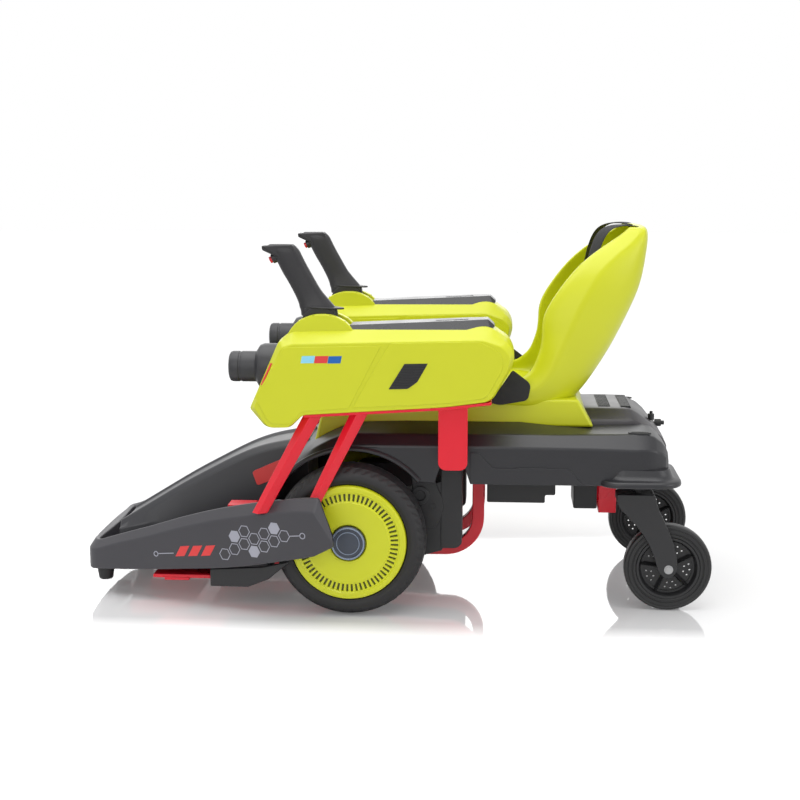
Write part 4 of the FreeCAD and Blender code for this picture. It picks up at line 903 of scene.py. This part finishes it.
for count in range(9):
    z = 412.5 + count * 4.5
    front = -73 - 27 * (z - 409) / 44
    back = -106 - (z - 410) * 1.0 if z < 422 else -120 - (z - 422) * 0.56
    slat = [(front, z), (front - 1, z + 2, 0.5), (back - 1, z + 2, 0.5), (back, z)]
    louvres += [outline(slat, POD_Y + 61, POD_Y + 63.2), outline(slat, POD_Y - 59, POD_Y - 63.2)]
piece("pod_louvres", with_twin(merged(*louvres)), case_nylon, "chassis", "black_plastic", ["pod_vents"])
vinyls = [("vinyl_sky", "#8FD8F2", 79), ("vinyl_deep_red", "#E03A3C", 56), ("vinyl_ocean", "#0C62B4", 33)]
for name, colour, x in vinyls:
    bar = outline([(x, 452.5), (x - 2.5, 465), (x - 25, 465.5), (x - 22.5, 453)], POD_Y + 61.1, POD_Y + 61.55)
    piece(name, with_twin(bar), grained(name + "_film", colour, colour, 0.3, 2.0, 0.02), "chassis", "lime_plastic")
strip_rings = []
for x, z in ((130.6, 451), (148, 413)):
    centre, along, out = Vector((x, POD_Y + 53.5, z)), Vector((-0.65, 0.76, 0)) * 2.4, Vector((0.76, 0.65, 0)) * 0.9
    strip_rings.append([centre + along + out, centre - along + out, centre - along - out, centre + along - out])
piece("front_red_strip", with_twin(lofted(strip_rings)), vinyl_red, "chassis", "red_button")
barrel_profile = [(118, 0.1), (118, 41), (150, 41), (158, 38), (163, 30), (165, 27), (190, 27), (191, 26), (194, 26),
                  (195, 27), (206, 27), (210, 25.5), (212, 22), (212, 17), (205, 15.5), (204, 0.1)]
barrel = turned((0, POD_Y, 438), barrel_profile, steps=56, axle=(1, 0, 0))
lamp_plastic = grained("charcoal_polypropylene", "#323235", "#2B2B2E", 0.42, 1.4, 0.08, drift=40)
piece("lamp_housings", with_twin(barrel), lamp_plastic, "chassis", "black_plastic", ["lamp_barrels"])

# Pod supports. A folded red steel plate is screwed under each pod, with a strap that hangs down to a
# standoff on the body; two pressed V-section struts carry its front from the guard arm.
plate = outline([(76, 362), (-165, 378), (-248, 388), (-248, 383), (-165, 373), (76, 357)], POD_Y - 57, POD_Y + 59)
strap = outline([(-156, 379), (-156, 264, 14), (-207, 264, 14), (-207, 374), (-244, 384), (-244, 388), (-200, 384)],
                260.5, 265.5)
standoff = rod((-181.5, 224, 290), (-181.5, 262, 290), 14)
paired("pod_bracket", merged(plate, strap, standoff), red_enamel, "chassis", "red_steel", "pod_plate", rounding=1.4)
strut_rows = [
    # foot back, foot front, head back, head front (x)
    (139, 166, 38, 71), (56, 78, -39, -8),
]
struts = bmesh.new()
for foot_back, foot_front, head_back, head_front in strut_rows:
    loops = []
    for back, front, y, z in ((foot_back, foot_front, 291, 190), (head_back, head_front, 269, 372)):
        ridge_x = back + (front - back) * 0.6
        section = [(back, y + 2), (ridge_x, y + 12), (front, y + 1), (front, y - 1), (ridge_x, y + 7), (back, y)]
        corners, edges = wire(struts, [(x, across, z) for x, across in section])
        loops += edges
        struts.faces.new(corners)
    bmesh.ops.bridge_loops(struts, edges=loops)
piece("pressed_struts", with_twin(struts), red_enamel, "chassis", "red_steel", ["pod_struts"], rounding=0.7,
      corner=20)

# Drive levers. Each is a charcoal nylon grip that leans forward, hooked at the top over a thumb button,
# with a flange at its foot; it rocks on a steel pin between the lime cheeks.
grip_nylon = grained("charcoal_grip_nylon", "#232225", "#1D1C1F", 0.4, 1.6, 0.12, drift=45)
button_gloss = grained("gloss_red_acetal", "#E3202C", "#D81B27", 0.2, 1.0, 0.02, drift=20)
grip_rows = [
    # x and z of the middle, half length, half width, and how far the section leans
    (53, 528, 32, 15, 0), (54, 538, 32, 15.5, 0), (58, 545, 30, 15, 0.05), (63, 553, 26, 14, 0.15),
    (72, 567, 21.5, 13, 0.3), (84, 589, 20, 13, 0.38), (97, 612, 20.5, 13.5, 0.36), (106, 630, 22, 14, 0.2),
    (112, 641, 24, 14, 0.05), (118, 649, 24, 12, 0), (119, 652, 20, 9, 0),
]
GRIP_STEPS = 28
BOXY = 0.7
grip_section = []
for step in range(GRIP_STEPS):
    angle = math.radians(step * 360 / GRIP_STEPS)
    grip_section.append([math.copysign(abs(share) ** BOXY, share) for share in (math.cos(angle), math.sin(angle))])
grip_rings = []
for x, z, length, width, lean in eased(grip_rows, 3):
    grip_rings.append([(x + ahead * length, POD_Y + aside * width, z - ahead * length * lean)
                       for ahead, aside in grip_section])
horn = [(94, 642, 4), (97, 652, 4), (152, 649.5, 2), (151, 642, 2), (139, 636.5, 5), (128, 632, 4), (112, 622, 4)]
grip = merged(lofted(grip_rings), outline(horn, POD_Y - 13, POD_Y + 13))
collar = bmesh.new()
tilted = Matrix.Translation((48, POD_Y, 543)) @ Matrix.Rotation(math.radians(-3), 4, "Y")
bmesh.ops.create_cone(collar, cap_ends=True, segments=40, radius1=1, radius2=1, depth=3,
                      matrix=tilted @ Matrix.Diagonal((38, 19, 1, 1)))
foot = outline([(31, 522, 2), (24, 541, 4), (80, 543, 4), (73, 522, 2)], POD_Y - 14, POD_Y + 14)
drum = rod((52, POD_Y - 16, 512), (52, POD_Y + 16, 512), 33, sides=48)
housing = rod((122, POD_Y, 632), (135, POD_Y, 626), 8.5)
button = rod((134, POD_Y, 626.5), (139, POD_Y, 624), 6)
paired("lever_grip", grip, grip_nylon, "drive_lever", "black_plastic", "lever", rounding=2.4, steps=4, corner=44)
paired("lever_foot", merged(collar, foot, drum, housing), grip_nylon, "drive_lever", "black_plastic", rounding=1.2)
paired("thumb_button", button, button_gloss, "drive_lever", "red_button", "lever_button", rounding=1)
